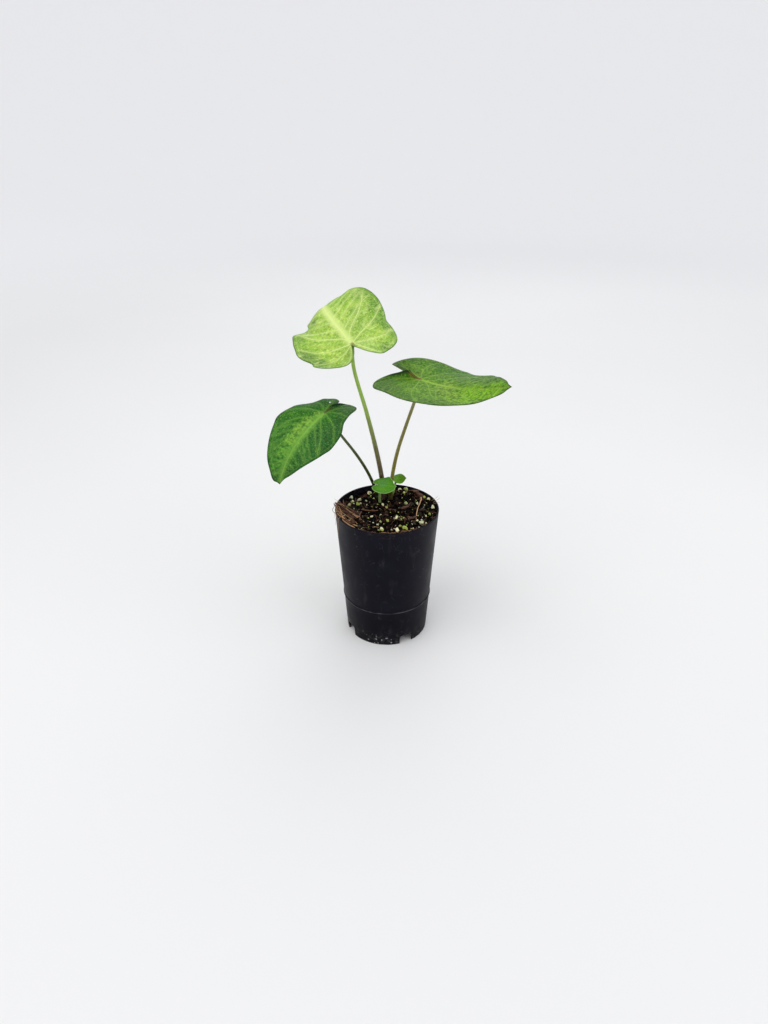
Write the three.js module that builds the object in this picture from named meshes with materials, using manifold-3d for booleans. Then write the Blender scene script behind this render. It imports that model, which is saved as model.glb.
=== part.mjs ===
// A young peltate caladium in a thin plastic nursery pot: three large leaves and two small ones on bare
// stalks, standing in a dark peat mix. Lengths are millimetres, angles degrees, +Z is up and -Y is the front.

import * as THREE from 'three';
import { mergeVertices } from 'three/addons/utils/BufferGeometryUtils.js';
import Module from 'manifold-3d';

const wasm = await Module();
wasm.setup();

// Driving dimensions. The pot's axis is x = y = 0 while the plant is built. The finished plant is then moved
// with the pot's axis to POT_AXIS, so that the origin lies under the middle of its outline from above.

const POT_AXIS = [3, -9.4];

// Clearance between pieces that touch, and the shortest edge kept where pieces are fused.
const GAP = 0.3;
const SHORTEST_EDGE = 0.02;

const POT = {
  rimRadius: 38,
  baseRadius: 30.75,
  height: 102,
  wall: 1,
  floorUnderside: 5,
  floorThickness: 1.2,
  beadHeight: 31,
  beadHalfWidth: 0.9,
  beadProud: 0.5,
  notchBearings: [28, 118, 208, 298],
  notchWidth: 10.5,
  notchHeight: 7.5,
  notchCorner: 2,
  notchInnerRadius: 27,
  notchOuterRadius: 34,
  sides: 64,
  colour: 0x1f2024,
};

const SOIL = {
  level: 100.3,
  frontLift: 0.02,
  hollowDepth: 3.6,
  hollowCentre: [-20, 22],
  hollowRadius: 20,
  crumbHeight: 0.45,
  rings: 14,
  colour: 0x2a1e16,
};

// The tuber is a flattened ball with a flat crown. Its girth is given as shares of its radius and of its
// depth below the crown.
const TUBER = {
  centre: [-1, 20],
  crownHeight: 84,
  depth: 15,
  crownRadius: 8.5,
  girthRadius: 11,
  girth: [[0.55, 0.92], [0.9, 0.68], [1, 0.4], [0.93, 0.14]],
  sides: 20,
  colour: 0x6b4a30,
};

// Perlite grains that show, as x, y and the grain's radius.
const PERLITE = [
  [-27.3, 22.5, 1.4], [-20.9, 21.6, 1.5], [-21.4, 12.7, 1.4], [-28, 9, 1.3], [-13.4, 31, 1.5],
  [-3, 9.5, 1.3], [13.7, 10.3, 1.6], [9.8, 32, 1.4], [14.5, 30.5, 1.6], [12.9, 26.5, 1.3],
  [27.8, 18.1, 1.4], [31, 15.5, 1.2], [33.5, 2.2, 1.4], [30.5, -8.1, 1.3], [22.2, 7.8, 1.2],
  [6.1, -14.4, 1.6], [0.6, -17.5, 1.4], [-4.6, -8.3, 1], [-11.1, -11, 0.9], [-3.6, -30.2, 1.6],
  [6.8, -32, 2], [12.4, -29.7, 2], [23.9, -20.7, 1.4], [8.8, -25.2, 1.1], [-6.8, -23.7, 1.1],
];

// Bark chips, as x, y, bearing, length, width and thickness.
const BARK = [
  [19, 28, -25, 11, 3, 1.6], [26, 22.5, -40, 9, 3.2, 1.5], [12, 2, 15, 8, 2.4, 1.4],
  [3, -1, -10, 7, 2.6, 1.3], [18, -14, 20, 6, 2.2, 1.3], [-16, 3, 60, 7, 2.2, 1.2], [25, -2, 70, 6, 2, 1.2],
];

// Grains are lumps with one radius as given and two that are drawn between these shares of it. They and the
// chips stand proud of the soil by a share of their own size.
const GRAIN_WIDTH = [0.8, 1.1];
const GRAIN_HEIGHT = [0.75, 0.95];
const GRAIN_PROUD = 0.15;
const CHIP_PROUD = 0.1;
const GRAIN_SEED = 7;

// Coarse root strands that lie on the soil at the left and curl up over the rim, as points in space.
const ROOT_RADIUS = 0.55;
const ROOT_SIDES = 5;
const ROOT_STEPS = 12;
const ROOTS = [
  [[-20, -9, 98.5], [-26, -7, 101.4], [-32, -2, 102.8], [-36.5, 4.5, 103.6], [-39.6, 8, 101.4]],
  [[-19, -3, 98.5], [-25, -1.5, 101.2], [-31.5, 3.5, 102.7], [-35.5, 9.5, 103.5], [-38.2, 12.8, 101.6]],
  [[-18, -15, 98.5], [-25, -14, 101.7], [-31, -10, 102.9], [-36.5, -4, 103.6], [-39.9, -1, 101.6]],
];

// Outline of half a leaf in units of its midrib: from the tip round one side into the notch at the back.
// The stalk joins at (0, 0), a little in front of the notch.
const HALF_OUTLINE = [
  [1, 0], [0.9, 0.055], [0.72, 0.22], [0.45, 0.4], [0.15, 0.485], [-0.14, 0.47],
  [-0.36, 0.36], [-0.48, 0.2], [-0.4, 0.09], [-0.24, 0.035], [-0.12, 0],
];

const BLADE_THICKNESS = 0.7;

// Ribs under a blade whose midrib is RIB_LENGTH long: their depth at the stalk, the share of it that is left
// at the margin, and the turn round the leaf at which the basal rib of each lobe lies.
const RIB_LENGTH = 70;
const MIDRIB = { depth: 0.9, left: 0.25 };
const BASAL_RIB = { depth: 0.5, left: 0.2, turn: 0.34 };

// The stalk ends this far below its rib. At its foot a sheath thickens it by a share of its radius.
const STALK_SEAT = 0.45;
const SHEATH_HEIGHT = 16;
const SHEATH_SHARE = 0.2;

// Each leaf: the point where its stalk joins, how its midrib points (heading from +X, rise, roll), the
// midrib's length and its shape factors. Bends are in degrees per 10 mm. Waves of the margin are cosine and
// sine pairs in mm, for one, two, three and more waves round the leaf. A nick is a place on the margin and a
// width, as shares of the way round from the tip, and a depth. A curl is such a place and width and how far
// the margin stands up there in mm. Values in pairs are for the right and left halves, seen from above with
// the tip ahead. The stalk's points run from the tuber to below the blade, and its radius goes from the one
// at its foot to the one at the blade.
const LEAVES = [
  {
    name: 'leaf_top',
    at: [-23.5, 9.5, 219.5],
    heading: 125.5,
    rise: 23.5,
    roll: -53,
    length: 75,
    width: 0.93,
    back: 0.52,
    spread: 1.06,
    droop: 0,
    droopGrowth: 3,
    lobeDroop: -9.5,
    fold: [-19, 11],
    cup: [-13.5, 15.5],
    twist: 7.25,
    waves: [[-1.25, -3], [1.25, -6.25], [1, -1.25], [0.5, 0.75], [0.5, -0.75], [0, -0.75]],
    nicks: [
      [0.885, 0.02, 0.18], [0.14, 0.035, -0.03], [0.29, 0.02, 0.06], [0.44, 0.025, -0.1],
      [0.795, 0.04, 0.04], [0.73, 0.025, -0.06], [0.06, 0.02, 0.08], [0.695, 0.015, 0.07],
      [0.94, 0.025, 0.04],
    ],
    curls: [[0.5, 0.045, 4.25], [0.84, 0.02, 3], [0.64, 0.045, -2], [0.875, 0.02, -1.75]],
    lift: [-1, -2],
    rays: 84,
    rings: 7,
    stalk: [
      [-2.4, 21.5, 90], [-2.2, 21.8, 99], [-4.1, 20.5, 117.5], [-8.5, 18, 142.5], [-14.3, 15, 169],
      [-22.6, 11.5, 203],
    ],
    stalkRadius: [1.9, 1.2],
    stalkSteps: 22,
    stalkSides: 10,
    colour: 0x9cc455,
    stalkColour: 0x6f6a48,
  },
  {
    name: 'leaf_right',
    at: [21.5, -9.5, 201.5],
    heading: -41,
    rise: -4,
    roll: 9.5,
    length: 70.5,
    width: 0.92,
    back: 0.94,
    spread: 0.9,
    droop: -4.5,
    droopGrowth: 0.2,
    lobeDroop: 7,
    fold: [2, 1],
    cup: [2, -1],
    twist: 3,
    waves: [[-2.5, -2.5], [1.75, -2], [0, -3.5], [0, -0.5]],
    nicks: [
      [0.965, 0.02, -0.03], [0.03, 0.015, -0.04], [0.18, 0.05, -0.09], [0.455, 0.02, 0.16],
      [0.775, 0.015, -0.03], [0.18, 0.02, 0.05],
    ],
    curls: [[0.115, 0.035, 1], [0.34, 0.075, 1], [0.56, 0.045, 1.5], [0.905, 0.02, -0.75]],
    lift: [0.5, -4.5],
    rays: 84,
    rings: 7,
    stalk: [
      [3.2, 19.5, 90], [2.6, 18.8, 99], [4, 14, 121], [7.5, 8, 143], [13, 1, 165.5], [18, -5, 184.5],
    ],
    stalkRadius: [1.45, 1.05],
    stalkSteps: 20,
    stalkSides: 10,
    colour: 0x5f9a3f,
    stalkColour: 0x6d6a2f,
  },
  {
    name: 'leaf_left',
    at: [-42, -3, 176],
    heading: 229,
    rise: -18.5,
    roll: -11.5,
    length: 57.5,
    width: 0.78,
    back: 0.8,
    spread: 0.76,
    droop: 7.75,
    droopGrowth: 1.8,
    lobeDroop: 14.5,
    fold: [15, 5],
    cup: [3, 1],
    twist: 1.75,
    waves: [[2, 2], [3.75, 5], [-0.25, 2.25], [0, 0], [0, 0], [0, 0.75]],
    nicks: [
      [0.715, 0.025, 0.08], [0.96, 0.025, -0.03], [0.03, 0.015, -0.04], [0.58, 0.045, -0.11],
      [0.19, 0.02, -0.04], [0.235, 0.025, 0.04],
    ],
    curls: [[0, 0.03, 0.75], [0.38, 0.015, -1], [0.55, 0.02, -1], [0.805, 0.02, -1]],
    lift: [-1.5, -3.25],
    rays: 52,
    rings: 6,
    stalk: [
      [-6.3, 23.5, 90], [-7, 23.6, 99], [-11, 19.5, 113.5], [-16, 15.5, 126.5], [-23, 11, 140.5],
      [-31.5, 6, 155],
    ],
    stalkRadius: [1.2, 0.95],
    stalkSteps: 20,
    stalkSides: 10,
    colour: 0x3f7a35,
    stalkColour: 0x3f5a26,
  },
  {
    name: 'leaf_small_front',
    at: [-5.4, 9, 115.5],
    heading: -10.5,
    rise: -1,
    roll: 15.5,
    length: 14.5,
    width: 1.06,
    back: 0.76,
    spread: 0.96,
    droop: -1,
    droopGrowth: 0,
    lobeDroop: 17,
    fold: [-6, 9],
    cup: [-0.5, -3],
    twist: 0,
    waves: [[0, 0], [0, -1]],
    nicks: [[0.965, 0.07, 0.13], [0.005, 0.045, 0.15]],
    curls: [[0.825, 0.045, 1.75]],
    lift: [-0.5, 1.75],
    rays: 40,
    rings: 3,
    stalk: [[-4.8, 15.5, 90], [-5.3, 14.6, 98.5], [-5.3, 12, 106.5]],
    stalkRadius: [1, 0.8],
    stalkSteps: 10,
    stalkSides: 8,
    colour: 0x4f9a35,
    stalkColour: 0x9fae7a,
  },
  {
    name: 'leaf_small_back',
    at: [7, 29, 111],
    heading: 5,
    rise: 0.5,
    roll: 12,
    length: 8,
    width: 1.3,
    back: 0.6,
    spread: 1.14,
    droop: 2.75,
    droopGrowth: 0,
    lobeDroop: 1.5,
    fold: [-6, -1],
    cup: [0, 0],
    twist: 0,
    waves: [[0, 0], [0, -1.5]],
    nicks: [],
    curls: [],
    lift: [0, -3.5],
    rays: 28,
    rings: 3,
    stalk: [[3.2, 24.8, 90], [4.4, 25.2, 98.5], [5.8, 27, 105]],
    stalkRadius: [0.9, 0.65],
    stalkSteps: 10,
    stalkSides: 8,
    colour: 0x4f9a35,
    stalkColour: 0x9fae7a,
  },
];

const PLASTIC_ROUGHNESS = 0.35;
const EARTH_ROUGHNESS = 0.95;
const LEAF_ROUGHNESS = 0.5;

const UP = new THREE.Vector3(0, 0, 1);
const { degToRad, clamp, lerp, smoothstep } = THREE.MathUtils;

// Solids

function keepPositions(geometry) {
  const plain = geometry.index ? geometry.toNonIndexed() : geometry.clone();
  for (const name of Object.keys(plain.attributes)) {
    if (name !== 'position') plain.deleteAttribute(name);
  }
  return mergeVertices(plain, 1e-4);
}

function toSolid(geometry) {
  const merged = keepPositions(geometry);
  const corners = [];
  const index = merged.index.array;
  for (let i = 0; i < index.length; i += 3) {
    const [a, b, c] = [index[i], index[i + 1], index[i + 2]];
    if (a !== b && b !== c && c !== a) corners.push(a, b, c);
  }
  return new wasm.Manifold(new wasm.Mesh({
    numProp: 3,
    vertProperties: Float32Array.from(merged.attributes.position.array),
    triVerts: Uint32Array.from(corners),
  }));
}

function toGeometry(solid) {
  const mesh = solid.getMesh();
  const geometry = new THREE.BufferGeometry();
  geometry.setAttribute('position', new THREE.BufferAttribute(mesh.vertProperties, 3));
  geometry.setIndex(new THREE.BufferAttribute(mesh.triVerts, 1));
  return geometry;
}

function fromLists(points, corners) {
  const geometry = new THREE.BufferGeometry();
  geometry.setAttribute('position', new THREE.Float32BufferAttribute(points.flatMap((p) => p.toArray()), 3));
  geometry.setIndex(corners);
  return geometry;
}

// A profile of radius and height pairs, turned about the Z axis.
function turned(profile, sides) {
  const points = profile.map(([radius, height]) => new THREE.Vector2(radius, height));
  return new THREE.LatheGeometry(points, sides).rotateX(Math.PI / 2);
}

// Repeatable draws between 0 and 1.
function drawsFrom(seed) {
  let state = seed;
  return () => {
    state = (state * 1664525 + 1013904223) % 4294967296;
    return state / 4294967296;
  };
}

// Pot

const taper = (POT.rimRadius - POT.baseRadius) / POT.height;
const outerRadius = (z) => POT.baseRadius + taper * z;
const innerRadius = (z) => outerRadius(z) - POT.wall;

// Bearings are measured from the front, towards +X.
const outward = (bearing) => {
  const angle = degToRad(bearing);
  return new THREE.Vector3(Math.sin(angle), -Math.cos(angle), 0);
};

function notchCutter(bearing) {
  const { notchWidth: width, notchHeight: height, notchCorner: corner } = POT;
  const shape = new THREE.Shape();
  shape.moveTo(-width / 2, -1);
  shape.lineTo(width / 2, -1);
  shape.lineTo(width / 2, height - corner);
  shape.absarc(width / 2 - corner, height - corner, corner, 0, Math.PI / 2, false);
  shape.lineTo(corner - width / 2, height);
  shape.absarc(corner - width / 2, height - corner, corner, Math.PI / 2, Math.PI, false);
  shape.closePath();
  const reach = POT.notchOuterRadius - POT.notchInnerRadius;
  const block = new THREE.ExtrudeGeometry(shape, { depth: reach, bevelEnabled: false, curveSegments: 3 });
  const radial = outward(bearing);
  const across = UP.clone().cross(radial);
  const placed = new THREE.Matrix4().makeBasis(across, UP, radial);
  return block.applyMatrix4(placed.setPosition(radial.clone().multiplyScalar(POT.notchInnerRadius)));
}

function potGeometry() {
  const { height, floorUnderside, floorThickness, beadHeight, beadHalfWidth, beadProud, wall } = POT;
  const floorTop = floorUnderside + floorThickness;
  const profile = [
    [0, floorUnderside],
    [innerRadius(floorUnderside), floorUnderside],
    [innerRadius(0), 0],
    [outerRadius(0), 0],
    [outerRadius(beadHeight - beadHalfWidth), beadHeight - beadHalfWidth],
    [outerRadius(beadHeight) + beadProud, beadHeight - beadHalfWidth / 3],
    [outerRadius(beadHeight) + beadProud, beadHeight + beadHalfWidth / 3],
    [outerRadius(beadHeight + beadHalfWidth), beadHeight + beadHalfWidth],
    [outerRadius(height) - wall / 4, height - wall / 4],
    [outerRadius(height) - wall / 2, height],
    [innerRadius(height) + wall / 4, height - wall / 4],
    [innerRadius(floorTop), floorTop],
    [0, floorTop],
  ];
  let pot = toSolid(turned(profile, POT.sides));
  for (const bearing of POT.notchBearings) pot = pot.subtract(toSolid(notchCutter(bearing)));
  return toGeometry(pot);
}

// Tuber

function tuberGeometry(grow = 0) {
  const { centre, crownHeight, depth, crownRadius, girthRadius, girth, sides } = TUBER;
  const top = crownHeight + grow;
  const height = depth + 2 * grow;
  const profile = [
    [0, top - height],
    ...girth.map(([radius, share]) => [girthRadius * radius + grow, top - height * share]),
    [crownRadius + grow, top],
    [0, top],
  ];
  return turned(profile, sides).translate(centre[0], centre[1], 0);
}

// Leaf blades

// The flat outline as points in units of the midrib, from the tip down the right half and back up the left.
function flatOutline(leaf) {
  const half = HALF_OUTLINE.map(([u, v]) => {
    const behind = u < 0;
    return new THREE.Vector3(behind ? u * leaf.back : u, v * leaf.width * (behind ? leaf.spread : 1), 0);
  });
  const curve = new THREE.CatmullRomCurve3(half, false, 'catmullrom', 0.5);
  curve.arcLengthDivisions = 800;
  const right = curve.getSpacedPoints(leaf.rays / 2);
  const left = right.slice(1, -1).reverse().map((p) => new THREE.Vector3(p.x, -p.y, 0));
  return [...right, ...left].map((p, i, all) => {
    const turn = i / all.length;
    const depths = leaf.nicks.map(([at, wide, deep]) => deep * Math.exp(-(((turn - at) / wide) ** 2)));
    return p.multiplyScalar(1 - depths.reduce((sum, depth) => sum + depth, 0));
  });
}

// Where a flat point of the blade lies once the midrib droops and the halves fold, cup, twist and wave. The
// point is u ahead of the stalk and v to the right, in mm, rho of the way to the margin at turn round it.
function bladePoint(leaf, u, v, rho, turn) {
  const perTen = (degrees) => degToRad(degrees) / 10;
  const side = v > 0 ? 0 : 1;
  let along = 0;
  let down = 0;
  let dip;
  if (u >= 0) {
    const bend = perTen(leaf.droop);
    const growth = perTen(leaf.droopGrowth) / 10;
    const steps = 24;
    for (let i = 0; i < steps; i += 1) {
      const s = (u * (i + 0.5)) / steps;
      along += (Math.cos(bend * s + (growth * s * s) / 2) * u) / steps;
      down += (Math.sin(bend * s + (growth * s * s) / 2) * u) / steps;
    }
    dip = bend * u + (growth * u * u) / 2;
  } else {
    const bend = perTen(leaf.lobeDroop);
    dip = bend * u;
    along = -Math.sin(-dip) / bend;
    down = (1 - Math.cos(dip)) / bend;
  }
  const fold = degToRad(leaf.fold[side]);
  const cup = perTen(leaf.cup[side]) || 1e-6;
  const lean = fold + cup * Math.abs(v);
  const across = (Math.sin(lean) - Math.sin(fold)) / cup;
  let up = (Math.cos(fold) - Math.cos(lean)) / cup;
  up += leaf.lift[side] * clamp((-2 * u) / leaf.length, 0, 1.2) ** 1.5;
  leaf.waves.forEach(([cosine, sine], i) => {
    const phase = 2 * Math.PI * (i + 1) * turn;
    up += rho * rho * (cosine * Math.cos(phase) + sine * Math.sin(phase));
  });
  const turnBy = perTen(leaf.twist) * u;
  const y = Math.sign(v) * across * Math.cos(turnBy) - up * Math.sin(turnBy);
  const z = Math.sign(v) * across * Math.sin(turnBy) + up * Math.cos(turnBy);
  let lifted = z * Math.cos(dip) - down;
  for (const [at, wide, high] of leaf.curls) {
    const away = turn - at - Math.round(turn - at);
    lifted += high * Math.exp(-((away / wide) ** 2)) * rho ** 3;
  }
  return new THREE.Vector3(along + z * Math.sin(dip), y, lifted);
}

// Stands a leaf's own frame, with x along the midrib, y to the right and z up, where the leaf grows.
function leafPlace(leaf) {
  const [heading, rise, roll] = [leaf.heading, leaf.rise, leaf.roll].map(degToRad);
  const ahead = new THREE.Vector3(
    Math.cos(rise) * Math.cos(heading),
    Math.cos(rise) * Math.sin(heading),
    Math.sin(rise),
  );
  const level = new THREE.Vector3(-Math.sin(heading), Math.cos(heading), 0);
  const above = ahead.clone().cross(level);
  const left = level.multiplyScalar(Math.cos(roll)).addScaledVector(above, Math.sin(roll));
  const normal = ahead.clone().cross(left);
  return new THREE.Matrix4().makeBasis(ahead, left.negate(), normal).setPosition(...leaf.at);
}

// The blade's upper face as a fan of rings round the stalk, with the corners of its triangles.
function bladeFace(leaf) {
  const outline = flatOutline(leaf);
  const place = leafPlace(leaf);
  const points = [bladePoint(leaf, 0, 0, 0, 0).applyMatrix4(place)];
  for (let ring = 1; ring <= leaf.rings; ring += 1) {
    const rho = ring / leaf.rings;
    outline.forEach((p, i) => {
      const [u, v] = [p.x * rho * leaf.length, p.y * rho * leaf.length];
      points.push(bladePoint(leaf, u, v, rho, i / outline.length).applyMatrix4(place));
    });
  }
  const corners = [];
  const count = outline.length;
  for (let i = 0; i < count; i += 1) {
    const next = (i + 1) % count;
    corners.push(0, 1 + next, 1 + i);
    for (let ring = 0; ring < leaf.rings - 1; ring += 1) {
      const [a, b] = [1 + ring * count + i, 1 + ring * count + next];
      corners.push(a, b, a + count, b, b + count, a + count);
    }
  }
  return { points, corners, count };
}

// The rib under ray i: the midrib towards the tip, and a basal rib into each lobe.
function ribDepth(leaf, i, rho) {
  const basal = Math.round(leaf.rays * BASAL_RIB.turn);
  const scale = leaf.length / RIB_LENGTH;
  if (i === 0) return scale * MIDRIB.depth * lerp(1, MIDRIB.left, rho);
  if (i === basal || i === leaf.rays - basal) return scale * BASAL_RIB.depth * lerp(1, BASAL_RIB.left, rho);
  return 0;
}

function bladeGeometry(leaf) {
  const { points, corners, count } = bladeFace(leaf);
  const face = fromLists(points, corners);
  face.computeVertexNormals();
  const normals = face.attributes.normal;
  const under = points.map((p, n) => {
    const [ring, i] = n === 0 ? [0, 0] : [Math.floor((n - 1) / count) + 1, (n - 1) % count];
    const depth = BLADE_THICKNESS + ribDepth(leaf, i, ring / leaf.rings);
    return p.clone().addScaledVector(new THREE.Vector3().fromBufferAttribute(normals, n), -depth);
  });
  const total = points.length;
  const all = [...corners];
  for (let i = 0; i < corners.length; i += 3) {
    all.push(corners[i] + total, corners[i + 2] + total, corners[i + 1] + total);
  }
  const margin = total - count;
  for (let i = 0; i < count; i += 1) {
    const [a, b] = [margin + i, margin + ((i + 1) % count)];
    all.push(a, b, a + total, b, b + total, a + total);
  }
  return fromLists([...points, ...under], all);
}

// Stalks

// A tapering stalk from the tuber's crown to just below its blade, with a wider sheath at its foot. Its ends
// are cut level with the crown and along the blade.
function stalkGeometry(leaf, grow = 0) {
  const place = leafPlace(leaf);
  const { points: facePoints, corners } = bladeFace(leaf);
  const face = fromLists(facePoints, corners);
  face.computeVertexNormals();
  const bladeNormal = new THREE.Vector3().fromBufferAttribute(face.attributes.normal, 0);
  const ribbed = BLADE_THICKNESS + ribDepth(leaf, 0, 0);
  const joint = new THREE.Vector3().setFromMatrixPosition(place);
  const seat = joint.addScaledVector(bladeNormal, -ribbed - STALK_SEAT);
  const foot = new THREE.Vector3(leaf.stalk[0][0], leaf.stalk[0][1], TUBER.crownHeight + GAP - grow);
  const curve = new THREE.CatmullRomCurve3([foot, ...leaf.stalk.map((p) => new THREE.Vector3(...p)), seat]);
  const { stalkSteps: steps, stalkSides: sides, stalkRadius } = leaf;
  const frames = curve.computeFrenetFrames(steps, false);
  const points = [foot.clone()];
  for (let step = 0; step <= steps; step += 1) {
    const share = step / steps;
    const centre = curve.getPointAt(share);
    const sheath = 1 - smoothstep(centre.z - SOIL.level, 0, SHEATH_HEIGHT);
    const radius = lerp(...stalkRadius, smoothstep(share, 0, 1)) * (1 + SHEATH_SHARE * sheath) + grow;
    for (let i = 0; i < sides; i += 1) {
      const angle = (2 * Math.PI * i) / sides;
      const point = centre.clone()
        .addScaledVector(frames.normals[step], radius * Math.cos(angle))
        .addScaledVector(frames.binormals[step], radius * Math.sin(angle));
      if (step === 0) slideTo(point, frames.tangents[step], foot, UP);
      if (step === steps) slideTo(point, frames.tangents[step], seat, bladeNormal);
      points.push(point);
    }
  }
  points.push(seat.clone());
  return fromLists(points, tubeCorners(steps, sides));
}

// Moves a point along a direction until it lies in the plane through onPlane.
function slideTo(point, direction, onPlane, normal) {
  const distance = onPlane.clone().sub(point).dot(normal) / direction.dot(normal);
  point.addScaledVector(direction, distance);
}

// Corners of a closed tube: the first and last points are the middles of its two ends.
function tubeCorners(steps, sides) {
  const corners = [];
  const last = 1 + (steps + 1) * sides;
  for (let i = 0; i < sides; i += 1) {
    const next = (i + 1) % sides;
    corners.push(0, 1 + next, 1 + i);
    corners.push(last, last - sides + i, last - sides + next);
    for (let step = 0; step < steps; step += 1) {
      const [a, b] = [1 + step * sides + i, 1 + step * sides + next];
      corners.push(a, b, a + sides, b, b + sides, a + sides);
    }
  }
  return corners;
}

// Soil

function soilLevel(x, y) {
  const { level, frontLift, hollowDepth, hollowCentre, hollowRadius } = SOIL;
  const away = Math.hypot(x - hollowCentre[0], y - hollowCentre[1]) / hollowRadius;
  return level - frontLift * y - hollowDepth * Math.exp(-away * away);
}

function soilSurface(x, y) {
  const crumbs = Math.sin(0.93 * x + 0.4) * Math.sin(0.81 * y + 1.1) + 0.7 * Math.sin(1.9 * x - 0.7 * y);
  return soilLevel(x, y) + SOIL.crumbHeight * crumbs;
}

// The filled pot: a disc of soil with an uneven top that keeps clear of the wall and the floor.
function soilBody() {
  const { sides } = POT;
  const bottom = POT.floorUnderside + POT.floorThickness + GAP;
  const points = [new THREE.Vector3(0, 0, soilSurface(0, 0))];
  const bearing = (i) => (2 * Math.PI * i) / sides;
  for (let ring = 1; ring <= SOIL.rings; ring += 1) {
    for (let i = 0; i < sides; i += 1) {
      const [x, y] = [Math.sin(bearing(i)), Math.cos(bearing(i))];
      const share = ring / SOIL.rings;
      let radius = (innerRadius(SOIL.level) - GAP) * share;
      const z = soilSurface(radius * x, radius * y);
      if (ring === SOIL.rings) radius = innerRadius(z) - GAP;
      points.push(new THREE.Vector3(radius * x, radius * y, z));
    }
  }
  for (let i = 0; i < sides; i += 1) {
    const radius = innerRadius(bottom) - GAP;
    points.push(new THREE.Vector3(radius * Math.sin(bearing(i)), radius * Math.cos(bearing(i)), bottom));
  }
  points.push(new THREE.Vector3(0, 0, bottom));
  const corners = tubeCorners(SOIL.rings, sides);
  return toSolid(fromLists(points, corners));
}

function perliteGrain([x, y, radius], draw) {
  const width = radius * lerp(...GRAIN_WIDTH, draw());
  const height = radius * lerp(...GRAIN_HEIGHT, draw());
  const turn = 2 * Math.PI * draw();
  const grain = new THREE.IcosahedronGeometry(1, 0).scale(radius, width, height);
  grain.rotateX(turn * 2).rotateZ(turn);
  return toSolid(grain.translate(x, y, soilSurface(x, y) + radius * GRAIN_PROUD));
}

function barkChip([x, y, bearing, length, width, thickness]) {
  const chip = new THREE.IcosahedronGeometry(0.5, 0).scale(length, width, thickness);
  chip.rotateZ(degToRad(bearing));
  return toSolid(chip.translate(x, y, soilSurface(x, y) + thickness * CHIP_PROUD));
}

function rootStrand(strand) {
  const curve = new THREE.CatmullRomCurve3(strand.map((p) => new THREE.Vector3(...p)));
  const frames = curve.computeFrenetFrames(ROOT_STEPS, false);
  const points = [curve.getPointAt(0)];
  for (let step = 0; step <= ROOT_STEPS; step += 1) {
    const centre = curve.getPointAt(step / ROOT_STEPS);
    for (let i = 0; i < ROOT_SIDES; i += 1) {
      const angle = (2 * Math.PI * i) / ROOT_SIDES;
      points.push(centre.clone()
        .addScaledVector(frames.normals[step], ROOT_RADIUS * Math.cos(angle))
        .addScaledVector(frames.binormals[step], ROOT_RADIUS * Math.sin(angle)));
    }
  }
  points.push(curve.getPointAt(1));
  return toSolid(fromLists(points, tubeCorners(ROOT_STEPS, ROOT_SIDES)));
}

// Soil with its grains, chips and roots, and plain holes for the tuber and the stalks.
function soilGeometry() {
  const draw = drawsFrom(GRAIN_SEED);
  let soil = soilBody();
  for (const grain of PERLITE) soil = soil.add(perliteGrain(grain, draw));
  for (const chip of BARK) soil = soil.add(barkChip(chip));
  for (const strand of ROOTS) soil = soil.add(rootStrand(strand));
  soil = soil.subtract(toSolid(tuberGeometry(GAP)));
  for (const leaf of LEAVES) soil = soil.subtract(toSolid(stalkGeometry(leaf, GAP)));
  return toGeometry(soil.simplify(SHORTEST_EDGE));
}

// Assembly

function piece(name, geometry, colour, roughness) {
  const material = new THREE.MeshStandardMaterial({ color: colour, roughness, metalness: 0 });
  const mesh = new THREE.Mesh(geometry, material);
  mesh.name = name;
  return mesh;
}

const plant = new THREE.Group();
plant.position.set(...POT_AXIS, 0);
plant.add(piece('pot', potGeometry(), POT.colour, PLASTIC_ROUGHNESS));
plant.add(piece('soil', soilGeometry(), SOIL.colour, EARTH_ROUGHNESS));
plant.add(piece('tuber', tuberGeometry(), TUBER.colour, EARTH_ROUGHNESS));
for (const leaf of LEAVES) {
  plant.add(piece(`${leaf.name}_blade`, bladeGeometry(leaf), leaf.colour, LEAF_ROUGHNESS));
  plant.add(piece(`${leaf.name}_petiole`, stalkGeometry(leaf), leaf.stalkColour, LEAF_ROUGHNESS));
}

const pottedCaladium = new THREE.Group();
pottedCaladium.add(plant);

export default pottedCaladium;
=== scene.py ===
import itertools
import math

import bmesh
import bpy
import numpy as np
from mathutils import Matrix, Vector


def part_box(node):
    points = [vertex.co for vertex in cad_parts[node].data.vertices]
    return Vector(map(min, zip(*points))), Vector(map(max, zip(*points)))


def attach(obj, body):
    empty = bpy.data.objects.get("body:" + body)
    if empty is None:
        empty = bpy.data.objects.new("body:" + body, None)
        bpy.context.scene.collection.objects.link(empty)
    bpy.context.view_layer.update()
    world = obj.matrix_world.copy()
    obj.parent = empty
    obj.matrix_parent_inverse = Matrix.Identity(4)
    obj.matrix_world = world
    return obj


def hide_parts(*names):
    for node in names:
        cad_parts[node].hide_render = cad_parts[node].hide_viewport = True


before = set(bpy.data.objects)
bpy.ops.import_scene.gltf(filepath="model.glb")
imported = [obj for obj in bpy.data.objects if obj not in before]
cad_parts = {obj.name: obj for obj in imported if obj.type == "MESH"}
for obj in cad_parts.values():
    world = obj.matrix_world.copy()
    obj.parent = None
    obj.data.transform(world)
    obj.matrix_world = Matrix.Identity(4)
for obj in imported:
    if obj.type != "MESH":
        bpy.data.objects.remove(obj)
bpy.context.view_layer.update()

# The looks of a young peltate caladium in a thin black nursery pot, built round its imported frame. Shapes are
# worked out in millimetres with the pot's axis at x = y = 0 and -Y to the front, and are placed in metres.

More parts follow.
